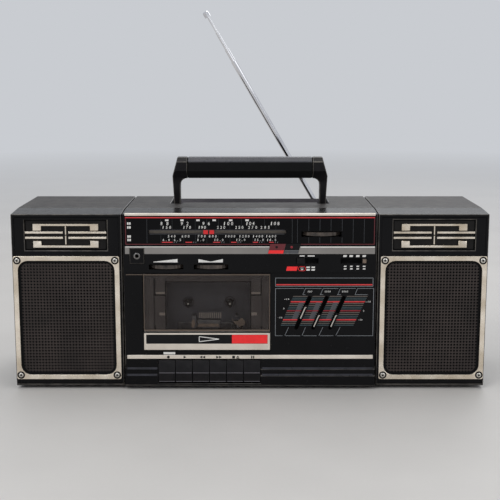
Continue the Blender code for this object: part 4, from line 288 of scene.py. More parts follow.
def slab(bm, outline, front, back, up=Matrix.Identity(4)):
    """A closed prism: an outline of x and z in millimetres, from one depth behind the face to another."""
    rings = []
    for depth in (front, back):
        rings.append([bm.verts.new(up @ Vector((x * MM, FACE + depth * MM, z * MM))) for x, z in outline])
    bm.faces.new(rings[0])
    bm.faces.new(rings[1][::-1])
    for i in range(len(outline)):
        j = (i + 1) % len(outline)
        bm.faces.new((rings[0][j], rings[0][i], rings[1][i], rings[1][j]))


def box_outline(left, right, low, high, slant=0.0):
    """Corners of a box, its top moved sideways by the slant."""
    return [(left, low), (right, low), (right + slant, high), (left + slant, high)]


def ring_outline(x, z, radius, sides=24, turn=0.0):
    """Corners of a regular polygon round a place on the face."""
    return [(x + radius * cos(turn + 2 * pi * i / sides), z + radius * sin(turn + 2 * pi * i / sides))
            for i in range(sides)]


def turned(bm, centre, axis, profile, sides=32):
    """A solid of revolution: radius and place along the axis, both in millimetres."""
    along = Vector(axis).normalized()
    across = along.orthogonal().normalized()
    other = along.cross(across)
    rings = []
    for radius, height in profile:
        middle = Vector(centre) + along * height * MM
        if radius == 0:
            rings.append([bm.verts.new(middle)])
            continue
        rings.append([
            bm.verts.new(middle + (across * cos(2 * pi * i / sides) + other * sin(2 * pi * i / sides)) * radius * MM)
            for i in range(sides)
        ])
    for low, high in zip(rings, rings[1:]):
        for i in range(sides):
            j = (i + 1) % sides
            corners = [low[i % len(low)], low[j % len(low)], high[j % len(high)], high[i % len(high)]]
            kept = [c for n, c in enumerate(corners) if c not in corners[:n]]
            if len(kept) > 2:
                bm.faces.new(kept)


def turn_about(middle, degrees):
    """A turn in the plane of the face about a point."""
    return Matrix.Translation(middle) @ Matrix.Rotation(radians(degrees), 4, "Y") @ Matrix.Translation(-middle)


def spot(x, depth, z):
    """A point in metres from millimetres behind the face."""
    return Vector((x * MM, FACE + depth * MM, z * MM))


def block(bm, xs, depths, zs, up=Matrix.Identity(4)):
    """A box between two values of x, of depth and of z, in millimetres."""
    slab(bm, box_outline(xs[0], xs[1], zs[0], zs[1]), depths[0], depths[1], up)


def boxes(name, depths, spans, body, slot, used):
    """A piece made of boxes between two depths, each given by its spans of x and z."""
    bm = bmesh.new()
    for xs, zs in spans:
        block(bm, xs, depths, zs)
    return place(name, as_mesh(name, bm), body, slot, (used,))


def lettering(bm, text, left, right, middle, height, front, back, lean=0.08, broad=0.60):
    """Generic numbers, their figures spread evenly between left and right, with their middle at that height."""
    wide = height * broad
    step = (right - left - wide) / max(len(text) - 1, 1)
    for index, figure in enumerate(text):
        curve = bpy.data.curves.new("figures", "FONT")
        curve.body = figure
        curve.extrude = 0.5
        curve.shear = lean
        curve.resolution_u = 2
        curve.offset = 0.006
        holder = bpy.data.objects.new("figures", curve)
        mesh = bpy.data.meshes.new_from_object(holder)
        xs = [v.co.x for v in mesh.vertices]
        ys = [v.co.y for v in mesh.vertices]
        tall = height if figure in "0123456789" else height * (max(ys) - min(ys)) / FIGURE_HEIGHT
        across = wide if figure in "023456789+" else wide * (0.6 if figure == "1" else 0.45)
        start = left + index * step + (wide - across) / 2
        low = middle - height / 2 if figure != "-" else middle - tall / 2
        for v in mesh.vertices:
            x = start + (v.co.x - min(xs)) / (max(xs) - min(xs)) * across
            z = low + (v.co.y - min(ys)) / (max(ys) - min(ys)) * tall
            v.co = spot(x, back + (front - back) * (v.co.z + 0.5), z)
        bm.from_mesh(mesh)
        bpy.data.meshes.remove(mesh)
        bpy.data.objects.remove(holder)


def run_length(edge, sharp):
    """Length of the sharp line that an edge belongs to, followed round gentle corners."""
    total = edge.calc_length()
    for start in edge.verts:
        seen, here, last = {edge}, start, edge
        while True:
            way = (here.co - last.other_vert(here).co).normalized()
            onward = [e for e in here.link_edges if e in sharp and e not in seen
                      and (e.other_vert(here).co - here.co).normalized().dot(way) > SHARPEST_BEND]
            if not onward:
                break
            last = onward[0]
            seen.add(last)
            here = last.other_vert(here)
            total += last.calc_length()
    return total


def dressed(name, finishes, width, shortest=6.0, segments=2, cutters=(), zones=None, angle=25, only=None):
    """A CAD solid, its long outer edges rounded to that width in millimetres, worn and with a painted highlight."""
    bm = bmesh.new()
    bm.from_mesh(CAD[name].data)
    bmesh.ops.remove_doubles(bm, verts=bm.verts, dist=WELD)
    mesh = bpy.data.meshes.new(name + "_dressed")
    bm.to_mesh(mesh)
    bm.free()
    mesh.materials.clear()
    for one in finishes:
        mesh.materials.append(one)
    if cutters:
        tools = bmesh.new()
        for xs, depths, zs in cutters:
            block(tools, xs, depths, zs)
        tool = bpy.data.objects.new("cutter", as_mesh("cutter", tools))
        SCENE.collection.objects.link(tool)
        mesh = evaluated(mesh, [("BOOLEAN", {"operation": "DIFFERENCE", "object": tool, "solver": "EXACT"})])
        bpy.data.objects.remove(tool)
    bm = bmesh.new()
    bm.from_mesh(mesh)
    if not only:
        bmesh.ops.dissolve_limit(bm, angle_limit=radians(1), verts=bm.verts, edges=bm.edges)
    weight = bm.edges.layers.float.new("bevel_weight_edge")
    sharp = {e for e in bm.edges
             if len(e.link_faces) == 2 and e.is_convex and e.calc_face_angle(0) > radians(angle)}
    for edge in sharp:
        if only:
            room = 1 if only((edge.verts[0].co + edge.verts[1].co) / 2) else 0
        else:
            room = min(face.calc_area() / max(e.calc_length() for e in face.edges) for face in edge.link_faces)
        if room > BEVEL_ROOM * width * MM and run_length(edge, sharp) > shortest * MM:
            edge[weight] = 1.0
    bm.to_mesh(mesh)
    bm.free()
    if zones:
        for face in mesh.polygons:
            face.material_index = zones(face.center)
    mesh.name = name + "_dressed"
    made = place(name + "_dressed", mesh, BODY_OF[name], name, finishes, (name,))
    bevel = made.modifiers.new("rounded_edges", "BEVEL")
    bevel.limit_method = "WEIGHT"
    bevel.width = width * MM
    bevel.segments = segments
    bevel.harden_normals = True
    bevel.use_clamp_overlap = False
    if len(finishes) > 1 and not zones:
        bevel.material = 1
    if only:
        bevel.harden_normals = False
    else:
        rounded(mesh, 30)
    return made


def coat(finish_used, *names):
    """Gives CAD nodes that keep their own shape a finish."""
    for name in names:
        CAD[name].data.materials.clear()
        CAD[name].data.materials.append(finish_used)


# Cases

CASE_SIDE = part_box("front_cabinet")[1][0]
FACE_WIDE = (-124.6, 124.6)
FRONT_TOP, BULGE_TOP, REAR_TOP = 0.1790, 0.1603, 0.1810
VENT_PITCH, VENT_WIDTH = 6.4, 2.2
SHEEN_TOP = 0.2255  # the grip takes a painted sheen above this height
groove = (FACE_WIDE, (-1, 0.6), (120.1, 120.8))
# Rounded edges of the cases, the handle's frame and the socket's plate are rubbed ABS: wear and a painted highlight
dressed("front_cabinet", (POLISHED_ABS, RUBBED_AND_HIGHLIGHT_ABS), 0.7, 60, cutters=[groove],
        only=lambda p: abs(p.x) > CASE_SIDE - MM or p.y < FACE - 0.5 * MM or p.z > FRONT_TOP)

vents = [((x, x + VENT_WIDTH), (142.6, 145), (104, 150))
         for x in [-100 + VENT_PITCH * i for i in range(31)] if abs(x) > 12]
dressed("rear_cabinet", (SPARKED_ABS, RUBBED_AND_HIGHLIGHT_ABS), 0.8, 60, cutters=vents,
        only=lambda p: abs(p.x) > CASE_SIDE - MM or abs(p.z - BULGE_TOP) < MM or p.z > REAR_TOP)
for side in ("left", "right"):
    dressed(side + "_speaker_front", (POLISHED_ABS, RUBBED_AND_HIGHLIGHT_ABS), 0.8)
    dressed(side + "_speaker_back", (SPARKED_ABS, RUBBED_AND_HIGHLIGHT_ABS), 0.8)
dressed("battery_lid", (SPARKED_ABS, RUBBED_AND_HIGHLIGHT_ABS), 0.5)
dressed("handle_frame", (KEY_ABS, RUBBED_AND_HIGHLIGHT_ABS), 0.8, shortest=3)
dressed("handle_grip", (GRIP_PVC, TOP_SHEEN_PVC), 1.2, segments=3, zones=lambda centre: int(centre.z > SHEEN_TOP))
coat(RUBBER, "front_foot_left", "front_foot_right", "rear_foot_left", "rear_foot_right", "pinch_roller")
coat(POLISHED_ABS, "mains_inlet")
dressed("phones_jack", (POLISHED_ABS, RUBBED_AND_HIGHLIGHT_ABS), 0.4, shortest=8)
coat(CHROME, "aerial_tube", "aerial_section_2", "aerial_section_3", "aerial_tip")
coat(ZINC_STEEL, "aerial_post")
coat(KEY_ABS, "function_switch", "band_switch", "dial_pointer")
coat(WHEEL_DUST_AND_SHEEN_ABS, "tuning_wheel", "volume_wheel", "balance_wheel")
coat(KEY_ABS, "equalizer_slider_1", "equalizer_slider_2", "equalizer_slider_3")
coat(PHENOLIC, "main_board")
coat(PRINTED_ACRYLIC, "dial_panel")
coat(BAND_PAINT, "status_band")
coat(BRUSHED_ALUMINIUM, "top_trim_bar", "lower_trim_bar")
coat(DECK_MOULDING, "cassette_door")
coat(WELL_PAINT, "deck_plate")
coat(BLACK_AND_PAINTED_SHADE, "supply_spindle", "take_up_spindle")
coat(ZINC_STEEL, "capstan_flywheel", "head_carriage", "key_shaft", "left_tweeter", "right_tweeter")
coat(PAPER_CONE, "left_woofer", "right_woofer")

# Slopes of the two ribs on the chin, covered with a painted sheen
bm = bmesh.new()
for xs in ((-124.6, -94.4), (12.4, 124.6)):
    for depth, z in ((-3.0, 14.7), (-1.5, 21.1)):
        profile = ((0.0, -0.35), (-0.06, -0.35), (-0.06, 0.06), (1.44, 1.56), (1.5, 1.5))
        rings = [[bm.verts.new(spot(x, depth + out, z + up)) for out, up in profile] for x in xs]
        bm.faces.new(rings[0])
        bm.faces.new(rings[1][::-1])
        for i in range(len(profile)):
            j = (i + 1) % len(profile)
            bm.faces.new((rings[0][j], rings[0][i], rings[1][i], rings[1][j]))
place("chin_slopes", as_mesh("slopes", bm), "centre_unit", "front_cabinet", (PAINTED_SHEEN_ABS,))

# Piano keys, each with a fine pale line along its ridge and foot: painted highlight, with dust
for name in ("record", "play", "rewind", "forward", "stop", "pause"):
    low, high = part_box(name + "_key")
    dressed(name + "_key", (KEY_ABS,), 0.45, shortest=5)
    xs = (low[0] / MM + 0.5, high[0] / MM - 0.5)
    boxes(name + "_key_wear", (-4.03, -3.8), ((xs, (17.6, 18.2)), (xs, (8.75, 9.2))), name + "_key_body",
          name + "_key", DUST_AND_LIGHT_ABS)

# Tape deck behind the window: plates and clips of the carrier, painted shade in the gaps between the plates,
# the well's back, painted shade round the hubs, and the guard, heads and lever that move with the head carriage
DOOR = "cassette_door_body"
PLATES = (((-102.6, -97.0), (60.6, 114.4)), ((-96.0, -85.6), (60.6, 96.8)), ((-95.0, -85.6), (98.4, 114.4)),
          ((-84.2, -0.4), (111.6, 114.4)), ((1.2, 11.6), (60.6, 96.8)), ((1.2, 10.6), (98.4, 114.4)),
          ((12.6, 15.6), (60.6, 114.4)))
LIPS = (((-94.6, -85.8), (98.4, 100.6)), ((1.4, 10.4), (98.4, 100.6)),
        ((-91.4, -85.8), (76.4, 79.4)), ((1.4, 7.0), (76.4, 79.4)))
GAP_SHADE_SPANS = (((-97.0, -96.1), (98.2, 114.6)), ((-97.0, -85.0), (96.8, 98.2)), ((-85.6, -84.6), (60.6, 111.6)),
        ((-85.6, 1.2), (110.6, 111.6)), ((0.2, 1.2), (60.6, 111.6)), ((0.4, 11.8), (96.8, 98.2)),
        ((10.8, 11.8), (98.2, 114.6)), ((-96.2, -95.5), (60.6, 66.0)), ((11.0, 11.7), (60.6, 66.0)))
boxes("carrier_plates", (1.75, 2.3), PLATES, DOOR, "cassette_door", DECK_MOULDING)
boxes("clip_lips", (1.6, 1.8), LIPS, DOOR, "cassette_door", TAN_NYLON)
boxes("carrier_gaps", (1.62, 1.9), GAP_SHADE_SPANS, DOOR, "cassette_door", BLACK_AND_PAINTED_SHADE)
boxes("well_back", (19.2, 20.0), [((-83.9, 0.4), (79.4, 109.6))], "centre_unit", "deck_plate", WELL_PAINT)
bm = bmesh.new()
for x in (-62.95, -20.45):
    for radius in (5.6, 3.6):
        turned(bm, spot(x, 18.9, 86.7), (0, -1, 0), [(radius - 0.5, -0.3), (radius, -0.3), (radius, 0.2),
                                                     (radius - 0.5, 0.2), (radius - 0.5, -0.3)], 28)
place("hub_rings", as_mesh("rings", bm), "centre_unit", "deck_plate", (BLACK_AND_PAINTED_SHADE,))
ribs = [((x, x + 1.1), (71.9, 77.6)) for x in [-51.7 + rib * 2.13 for rib in range(11)]]
boxes("head_guard_ribs", (8.95, 9.5), ribs, "head_carriage_body", "head_carriage", TAN_NYLON)
boxes("head_guard", (9.4, 9.9), [((-52.2, -28.8), (71.4, 78.0))], "head_carriage_body", "head_carriage", WELL_PAINT)
bm = bmesh.new()
slab(bm, [(-53.6, 62.9), (-31.4, 62.9), (-32.4, 65.9), (-52.0, 65.9)], 9.0, 9.7)
slab(bm, [(-59.8, 62.5), (-57.0, 61.8), (-55.8, 66.5), (-57.0, 70.4), (-59.2, 69.2)], 9.0, 9.7)
slab(bm, [(-18.4, 72.2), (-16.6, 68.2), (-12.6, 68.6), (-9.4, 71.4), (-7.8, 71.6), (-4.9, 68.2), (-5.6, 64.6),
          (-10.8, 62.6), (-14.2, 65.2), (-17.6, 68.6)], 9.6, 10.3)
place("head_and_lever", as_mesh("lever", bm), "head_carriage_body", "head_carriage", (BROWN_ACETAL_AND_HIGHLIGHT,))
# Nearly white caps on the spindles: painted glints at their tips
for name in ("supply", "take_up"):
    low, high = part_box(name + "_spindle")
    middle = Vector(((low[0] + high[0]) / 2, low[1] + 0.3 * MM, (low[2] + high[2]) / 2))
    bm = bmesh.new()
    turned(bm, middle, (0, -1, 0), [(0, -1), (1.05, -1), (1.0, 0.1), (0.6, 0.35), (0, 0.4)], 20)
    place(name + "_hub_cap", rounded(as_mesh("cap", bm)), name + "_spindle_body", name + "_spindle", (HUB_GLINT_NYLON,))

# Cassette door
# The window's rounded edges take a painted highlight
dressed("cassette_window", (SMOKED_ACRYLIC, SMOKED_EDGE_HIGHLIGHT), 0.8)
dressed("cassette_door_trim", (BRUSHED_ALUMINIUM,), 0.35)

# Speakers: frames, pierced sheets and the plated bars of the tweeter


GRILLE_CORNER = 9.7
CORNER_STEPS = 8
QUARTERS = ((1, 1), (-1, 1), (-1, -1), (1, -1))


def pierced(name, across, height, corner, pitch, hole, margin, sides, depth):
    """A sheet with round holes in square rows, its outline a box with rounded corners, in millimetres."""
    curve = bpy.data.curves.new(name, "CURVE")
    curve.dimensions = "2D"
    curve.fill_mode = "BOTH"
    curve.extrude = (depth[1] - depth[0]) / 2 * MM
    wide, tall = across[1] - across[0], height[1] - height[0]

    def add(points):
        spline = curve.splines.new("POLY")
        spline.points.add(len(points) - 1)
        for point, (x, z) in zip(spline.points, points):
            point.co = (x * MM, z * MM, 0, 1)
        spline.use_cyclic_u = True

    edge = []
    for quarter, (sx, sz) in enumerate(QUARTERS):
        for step in range(CORNER_STEPS + 1):
            turn = pi / 2 * (quarter + step / CORNER_STEPS)
            edge.append((sx * (wide / 2 - corner) + corner * cos(turn), sz * (tall / 2 - corner) + corner * sin(turn)))
    add(edge)
    columns, rows = int((wide - 2 * margin) / pitch), int((tall - 2 * margin) / pitch)
    for column in range(columns + 1):
        for row in range(rows + 1):
            x, z = (column - columns / 2) * pitch, (row - rows / 2) * pitch
            beyond = Vector((max(abs(x) - wide / 2 + corner, 0), max(abs(z) - tall / 2 + corner, 0)))
            if beyond.length < corner - hole - 0.6:
                add(ring_outline(x, z, hole, sides, pi / sides))
    holder = bpy.data.objects.new(name, curve)
    mesh = bpy.data.meshes.new_from_object(holder)
    bpy.data.objects.remove(holder)
    middle = spot(sum(across) / 2, sum(depth) / 2, sum(height) / 2)
    mesh.transform(Matrix.Translation(middle) @ Matrix.Rotation(pi / 2, 4, "X"))
    bm = bmesh.new()
    bm.from_mesh(mesh)
    return as_mesh(name, bm)


def rim_of(left, right, bottom, top, corner, width, depths):
    """A flat rim of that width inside a box with rounded corners, between two depths in millimetres."""
    bm = bmesh.new()
    rings = []
    for inset, depth in ((0, depths[0]), (width, depths[0]), (width, depths[1]), (0, depths[1])):
        ring = []
        reach = corner - inset
        for quarter, (sx, sz) in enumerate(QUARTERS):
            x = (right if sx > 0 else left) - sx * corner
            z = (top if sz > 0 else bottom) - sz * corner
            for step in range(CORNER_STEPS + 1):
                turn = pi / 2 * (quarter + step / CORNER_STEPS)
                ring.append(bm.verts.new(spot(x + reach * cos(turn), depth, z + reach * sin(turn))))
        rings.append(ring)
    for ring, onward in zip(rings, rings[1:] + rings[:1]):
        for i in range(len(ring)):
            j = (i + 1) % len(ring)
            bm.faces.new((ring[i], ring[j], onward[j], onward[i]))
    return as_mesh("rim", bm)


for side, sign in (("left", -1), ("right", 1)):
    low, high = [[value / MM for value in corner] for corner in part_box(side + "_speaker_grille")]
    sheet = pierced(side + "_pierced_sheet", (low[0], high[0]), (low[2], high[2]), GRILLE_CORNER, 3.12, 1.12, 1.9, 8,
                    (1.1, 1.9))
    place(side + "_pierced_sheet", sheet, side + "_speaker", side + "_speaker_grille", (LACQUERED_STEEL,),
          (side + "_speaker_grille",))
    boxes(side + "_grille_cloth", (2.0, 2.3), [((low[0] + 0.5, high[0] - 0.5), (low[2] + 0.5, high[2] - 0.5))],
          side + "_speaker", side + "_speaker_grille", BLACK_AND_PAINTED_SHADE)
    # A black ring round the border of the sheet: painted shadow
    rim = rim_of(low[0], high[0], low[2], high[2], GRILLE_CORNER, 2.3, (1.02, 1.14))
    place(side + "_grille_rim", rim, side + "_speaker", side + "_speaker_grille", (BLACK_AND_PAINTED_SHADE,))
    dressed(side + "_speaker_frame", (PLATED_ABS,), 0.3, shortest=2)
    low, high = [[value / MM for value in corner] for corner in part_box(side + "_tweeter_grille")]
    dressed(side + "_tweeter_grille", (PLATED_ABS, BLACK_AND_PAINTED_SHADE), 0.25, shortest=3,
            zones=lambda centre: int(centre.y > FACE + 2.0 * MM))
    sheet = pierced(side + "_tweeter_sheet", (low[0] + 1, high[0] - 1), (low[2] + 1, high[2] - 1), 1.0, 1.7, 0.55,
                    1.2, 6, (1.7, 2.05))
    place(side + "_tweeter_sheet", sheet, side + "_speaker", side + "_tweeter_grille", (TWEETER_STEEL,))
    # Frame screws: a bright head, with painted shade as a dark ring for the recess round it and as a dark cross
    heads, rings, crosses = bmesh.new(), bmesh.new(), bmesh.new()
    for x in (135.1, 232.9):
        for z in (14.8, 133.2):
            middle = spot(sign * x, 0, z)
            turned(rings, middle, (0, -1, 0), [(0, 0.9), (3.9, 0.9), (3.9, 1.25), (0, 1.25)])
            turned(heads, middle, (0, -1, 0), [(0, 1.0), (2.35, 1.0), (2.35, 1.5), (2.0, 1.75), (0, 1.8)])
            for turn in (20, 110):
                spin = turn_about(middle, turn)
                block(crosses, (sign * x - 1.3, sign * x + 1.3), (-1.9, -1.7), (z - 0.45, z + 0.45), spin)
    place(side + "_screw_rings", as_mesh("rings", rings), side + "_speaker", side + "_speaker_frame", (BLACK_AND_PAINTED_SHADE,))
    place(side + "_screw_heads", rounded(as_mesh("heads", heads)), side + "_speaker", side + "_speaker_frame",
          (PLATED_STEEL_AND_HIGHLIGHT,))
    place(side + "_screw_crosses", as_mesh("crosses", crosses), side + "_speaker", side + "_speaker_frame",
          (BLACK_AND_PAINTED_SHADE,))
    # Spring terminals in the recess at the back, one lever of each colour
    levers = {"red": (bmesh.new(), RED_ACRYLIC), "black": (bmesh.new(), KEY_ABS)}
    for x, colour in ((176.5, "red"), (189.5, "black")):
        bm = levers[colour][0]
        block(bm, (sign * x - 4.2, sign * x + 4.2), (128.2, 131.5), (46.5, 59.5))
        block(bm, (sign * x - 3.4, sign * x + 3.4), (131.5, 133.0), (53.0, 57.5))
    for colour, (bm, used) in levers.items():
        place(side + "_terminal_" + colour, as_mesh("lever", bm), side + "_speaker", side + "_speaker_back", (used,))

# Pale sheet on the inner side of the lip behind the handle: painted light on a face that lies in shade
boxes("trough_lip_facing", (130.7, 131.1), [((-83.6, 83.6), (166.2, 178.9))], "centre_unit", "rear_cabinet",
      DUST_AND_LIGHT_ABS)

# Screws in the back of the centre unit
bm = bmesh.new()
for x, z in ((-117, 152), (117, 152), (-117, 9.5), (117, 9.5), (50, 9.5)):
    turned(bm, (x * MM, BACK, z * MM), (0, 1, 0), [(0, -1.2), (3.4, -1.2), (3.4, -0.2), (2.6, -0.05), (1.2, -0.05),
                                                   (0.5, -0.9), (0, -0.9)])
place("rear_screws", rounded(as_mesh("screws", bm)), "centre_unit", "rear_cabinet", (ZINC_STEEL,))


# Printing


PRINTS = {}
INK_PROUD, INK_SUNK, INK_STEP = 0.05, 0.03, 0.002


def ink(body, used, slot):
    """The mesh in the making that gathers one colour of print on one slot of a body."""
    key = (body, used.name, slot)
    if key not in PRINTS:
        PRINTS[key] = bmesh.new()
    return PRINTS[key]


def printed(used, slot, outlines, level=0.0, body="centre_unit"):
    """Flat prints, each a hair prouder than the one before, so that two that cross never share a plane."""
    bm = ink(body, used, slot)
    for index, outline in enumerate(outlines):
        slab(bm, outline, level - INK_PROUD - INK_STEP * (index % 7), level + INK_SUNK)


def written(used, slot, rows):
    """Rows of figures, each its text, left, right, middle height and size in millimetres."""
    bm = ink("centre_unit", used, slot)
    for text, left, right, middle, height in rows:
        lettering(bm, text, left, right, middle, height, -INK_PROUD, INK_SUNK)


def stroke(a, b, line):
    """A straight line of that thickness between two points."""
    along = (Vector(b) - Vector(a)).normalized() * 0.5 * line
    side = Vector((-along.y, along.x))
    corners = [Vector(a) - side, Vector(b) - side, Vector(b) + side, Vector(a) + side]
    return [tuple(corner) for corner in corners]


# Dial: frequency scales, marks and lines
fm = zip("88 92 96 100 104 108".split(), (-89.1, -68.7, -47.3, -26.4, -4.1, 20.3),
         (-81.1, -61.2, -39.9, -16.8, 4.4, 29.2))
lw = zip("150 170 190 220 250 270 285".split(), (-87.3, -66.6, -51.4, -32.9, -14.8, -1.9, 10.4),
         (-78.6, -58.8, -44.0, -24.7, -6.6, 7.1, 19.5))
mw = zip("540 600 700 800 1000 1200 1400 1600".split(), (-78.1, -64.2, -48.1, -37.1, -19.8, -5.7, 7.9, 21.0))
sw = zip("6.0 6.5 8.0 10.0 13.0 15.0 18.0".split(), (-83.5, -72.3, -49.2, -31.1, -9.3, 9.0, 21.5))
FM_ROW, LW_ROW, MW_ROW, SW_ROW = 170.5, 166.6, 157.7, 154.0
MW_PITCH, SW_PITCH = 1.28, 1.15  # half a figure's share of its number
rows = [(text, left, right, FM_ROW, 3.4) for text, left, right in fm]
rows += [(text, left, right, LW_ROW, 2.9) for text, left, right in lw]
rows += [(text, x - len(text) * MW_PITCH, x + len(text) * MW_PITCH, MW_ROW, 2.5) for text, x in mw]
rows += [(text, x - len(text) * SW_PITCH, x + len(text) * SW_PITCH, SW_ROW, 2.3) for text, x in sw]
written(WHITE_INK, "dial_panel", rows)
marks = [box_outline(x - 1.7, x + 1.7, 172.9, 174.6) for x in (-82.7, -67.5, -51.7, -35.6, -19.2, -2.9)]
marks += [box_outline(x, x + 1.5, z - 1.2, z + 1.2) for x in (-122.2, -120.2) for z in (170.5, 166.6, 157.4, 153.9)]
printed(WHITE_INK, "dial_panel", marks)
DIAL_EDGE, DIAL_FOOT, DIAL_HEAD = 124.2, 149.9, 175.9
printed(RED_INK, "dial_panel", [box_outline(-DIAL_EDGE, DIAL_EDGE, DIAL_HEAD, DIAL_HEAD + 1)])
reds = [box_outline(-DIAL_EDGE, DIAL_EDGE, DIAL_FOOT - 0.7, DIAL_FOOT),
        box_outline(-DIAL_EDGE, -DIAL_EDGE + 0.7, DIAL_FOOT, DIAL_HEAD),
        box_outline(DIAL_EDGE - 0.7, DIAL_EDGE, DIAL_FOOT, DIAL_HEAD)]
printed(DARK_RED_INK, "dial_panel", reds)
bars = ((-87.9, -77.1), (-64.3, -57.6), (-36.7, -29.7), (-18.8, -13.5), (3.0, 8.0), (19.0, 23.7))
printed(RED_INK, "dial_panel", [box_outline(a, b, 151.2, 152.0) for a, b in bars])
written(GREY_INK, "dial_panel",
        [(text, b + 1, b + 4.2, 151.6, 1.5) for text, (a, b) in zip("49 41 31 25 19 16".split(), bars)])
LINE_LOW, LINE_HIGH = 151.0, 175.0
WHEEL_SLOT, POINTER_SLOT = (156.6, 163.1), (159.6, 164.2)
lines = []
for x in (58.5, 69.6, 80.6, 91.7, 102.7, 113.7):
    spans = ((LINE_LOW, WHEEL_SLOT[0]), (WHEEL_SLOT[1], LINE_HIGH)) if x < 92.4 else ((LINE_LOW, LINE_HIGH),)
    lines += [box_outline(x - 0.16, x + 0.16, low, high) for low, high in spans]
lines += [box_outline(x - 0.15, x + 0.15, LINE_LOW, LINE_HIGH) for x in (-102.6, 42.0, 47.2)]
lines += [box_outline(x - 0.08, x + 0.08, low, high)
          for low, high in ((LINE_LOW, POINTER_SLOT[0]), (POINTER_SLOT[1], LINE_HIGH))
          for x in (-88.8, -77.4, -66.0, -54.5, -43.0, -31.5, -20.0, -8.6, 2.9, 14.4, 25.8)]
printed(DIM_INK, "dial_panel", lines)
printed(PATCH_INK, "dial_panel", [box_outline(-99.7, 34.3, z, z + 0.45) for z in (159.75, 163.65)])

# Pointer's flags, and the pale reflector behind the slot that it runs in
flags = bmesh.new()
x = (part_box("dial_pointer")[0][0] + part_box("dial_pointer")[1][0]) / 2 / MM
for left in (x - 5.3, x + 0.7):
    slab(flags, box_outline(left, left + 4.6, 159.9, 163.8), -0.45, 0.1)
place("pointer_flags", as_mesh("flags", flags), "dial_pointer_body", "dial_pointer", (RED_ACRYLIC,))
boxes("dial_reflector", (5.6, 5.9), [((-101, 38), (158.4, 165.4))], "centre_unit", "dial_panel", TAN_NYLON)

# Lamps: two slanted windows over the band and the foot of the dial, each with a lamp behind it
for name, left, right, used in (("stereo_pane", 17.9, 33.1, DARK_RED_INK), ("power_pane", 33.3, 48.0, BLACK_INK)):
    bm = bmesh.new()
    slab(bm, box_outline(left, right, 140.1, 150.0, 2.6), -0.75, 0.0)
    place(name, as_mesh("pane", bm), "centre_unit", "status_band", (used,))
printed(BRIGHT_RED_INK, "status_band", [box_outline(18.1, 33.0, 140.3, 143.6, 0.87)], -0.78)
printed(PATCH_INK, "status_band", [box_outline(33.6, 47.9, 140.4, 143.5, 0.85)], -0.78)
printed(GREY_INK, "status_band", [box_outline(33.6, 47.9, 140.4, 140.75, 0.1),
                                    box_outline(34.4, 48.7, 143.2, 143.5, 0.1)], -0.8)
for name, x, used in (("stereo_lamp", 26.6, BLACK_INK), ("power_lamp", 41.5, DEEP_RED_INK)):
    bm = bmesh.new()
    turned(bm, spot(x, -0.7, 146.8), (0, -1, 0), [(0, 0), (1.3, 0), (1.2, 0.2), (0.7, 0.35), (0, 0.4)], 20)
    place(name, rounded(as_mesh("lamp", bm)), "centre_unit", "status_band", (used,))
# A white line along the top of the band: painted highlight on its top edge
printed(WHITE_INK, "status_band", [box_outline(-124.6, 19.2, 146.6, 147.4),
                                     box_outline(50.6, 124.6, 146.2, 147.4)], -0.42)

# Signs round the wheels and switches
wedge = [(-96.6, 131.3), (-72.5, 131.2), (-72.5, 134.7), (-96.6, 131.9)]
bow = [(-51.6, 131.2), (-27.1, 131.2), (-27.1, 134.6), (-39.3, 132.0), (-51.6, 134.6)]
signs = [wedge, bow]
signs += [box_outline(a, b, 137.2, 138.3) for a, b in ((49.6, 54.6), (57.6, 64.6))]
signs += [box_outline(x - 1.7, x + 1.7, 136.7, 138.7, 0.3) for x in (94.8, 101.0, 107.6, 114.0)]
signs += [box_outline(a, b, z, z + 1.6, 0.3) for a, b in ((56.3, 59.9), (61.4, 64.8)) for z in (122.8, 125.4)]
signs += [box_outline(a, a + 2.6, z, z + 1.2, 0.3) for a in (93.8, 100.0, 106.4, 112.8) for z in (124.0, 126.6)]
signs += [box_outline(51.0, 53.2, 123.4, 124.3, 0.2), box_outline(50.6, 53.6, 125.2, 125.7, 0.1)]
printed(WHITE_INK, "front_cabinet", signs)
printed(BRIGHT_RED_INK, "front_cabinet", [box_outline(36.2, 46.8, 122.7, 127.0, 1.0)])
oval = [ring_outline(x, 124.8, 2.1, 24) for x in (50.6, 53.6)]
rim = oval[0][6:19] + oval[1][18:] + oval[1][:7]
printed(BRIGHT_RED_INK, "front_cabinet", [stroke(a, b, 0.45) for a, b in zip(rim, rim[1:] + rim[:1])])

# Nut of the headphone socket
jack = bmesh.new()
turned(jack, spot(-113.0, -0.8, 137.8), (0, -1, 0), [(2.0, -0.3), (3.2, -0.3), (3.2, 0.35), (2.7, 0.6), (2.0, 0.6),
                                                     (2.0, -0.3)])
place("jack_nut", rounded(as_mesh("nut", jack)), "centre_unit", "phones_jack", (BLACK_CHROME,))


def box_lines(left, right, low, high, line):
    """The four sides of a frame."""
    return [box_outline(left, right, low, low + line), box_outline(left, right, high - line, high),
            box_outline(left, left + line, low, high), box_outline(right - line, right, low, high)]


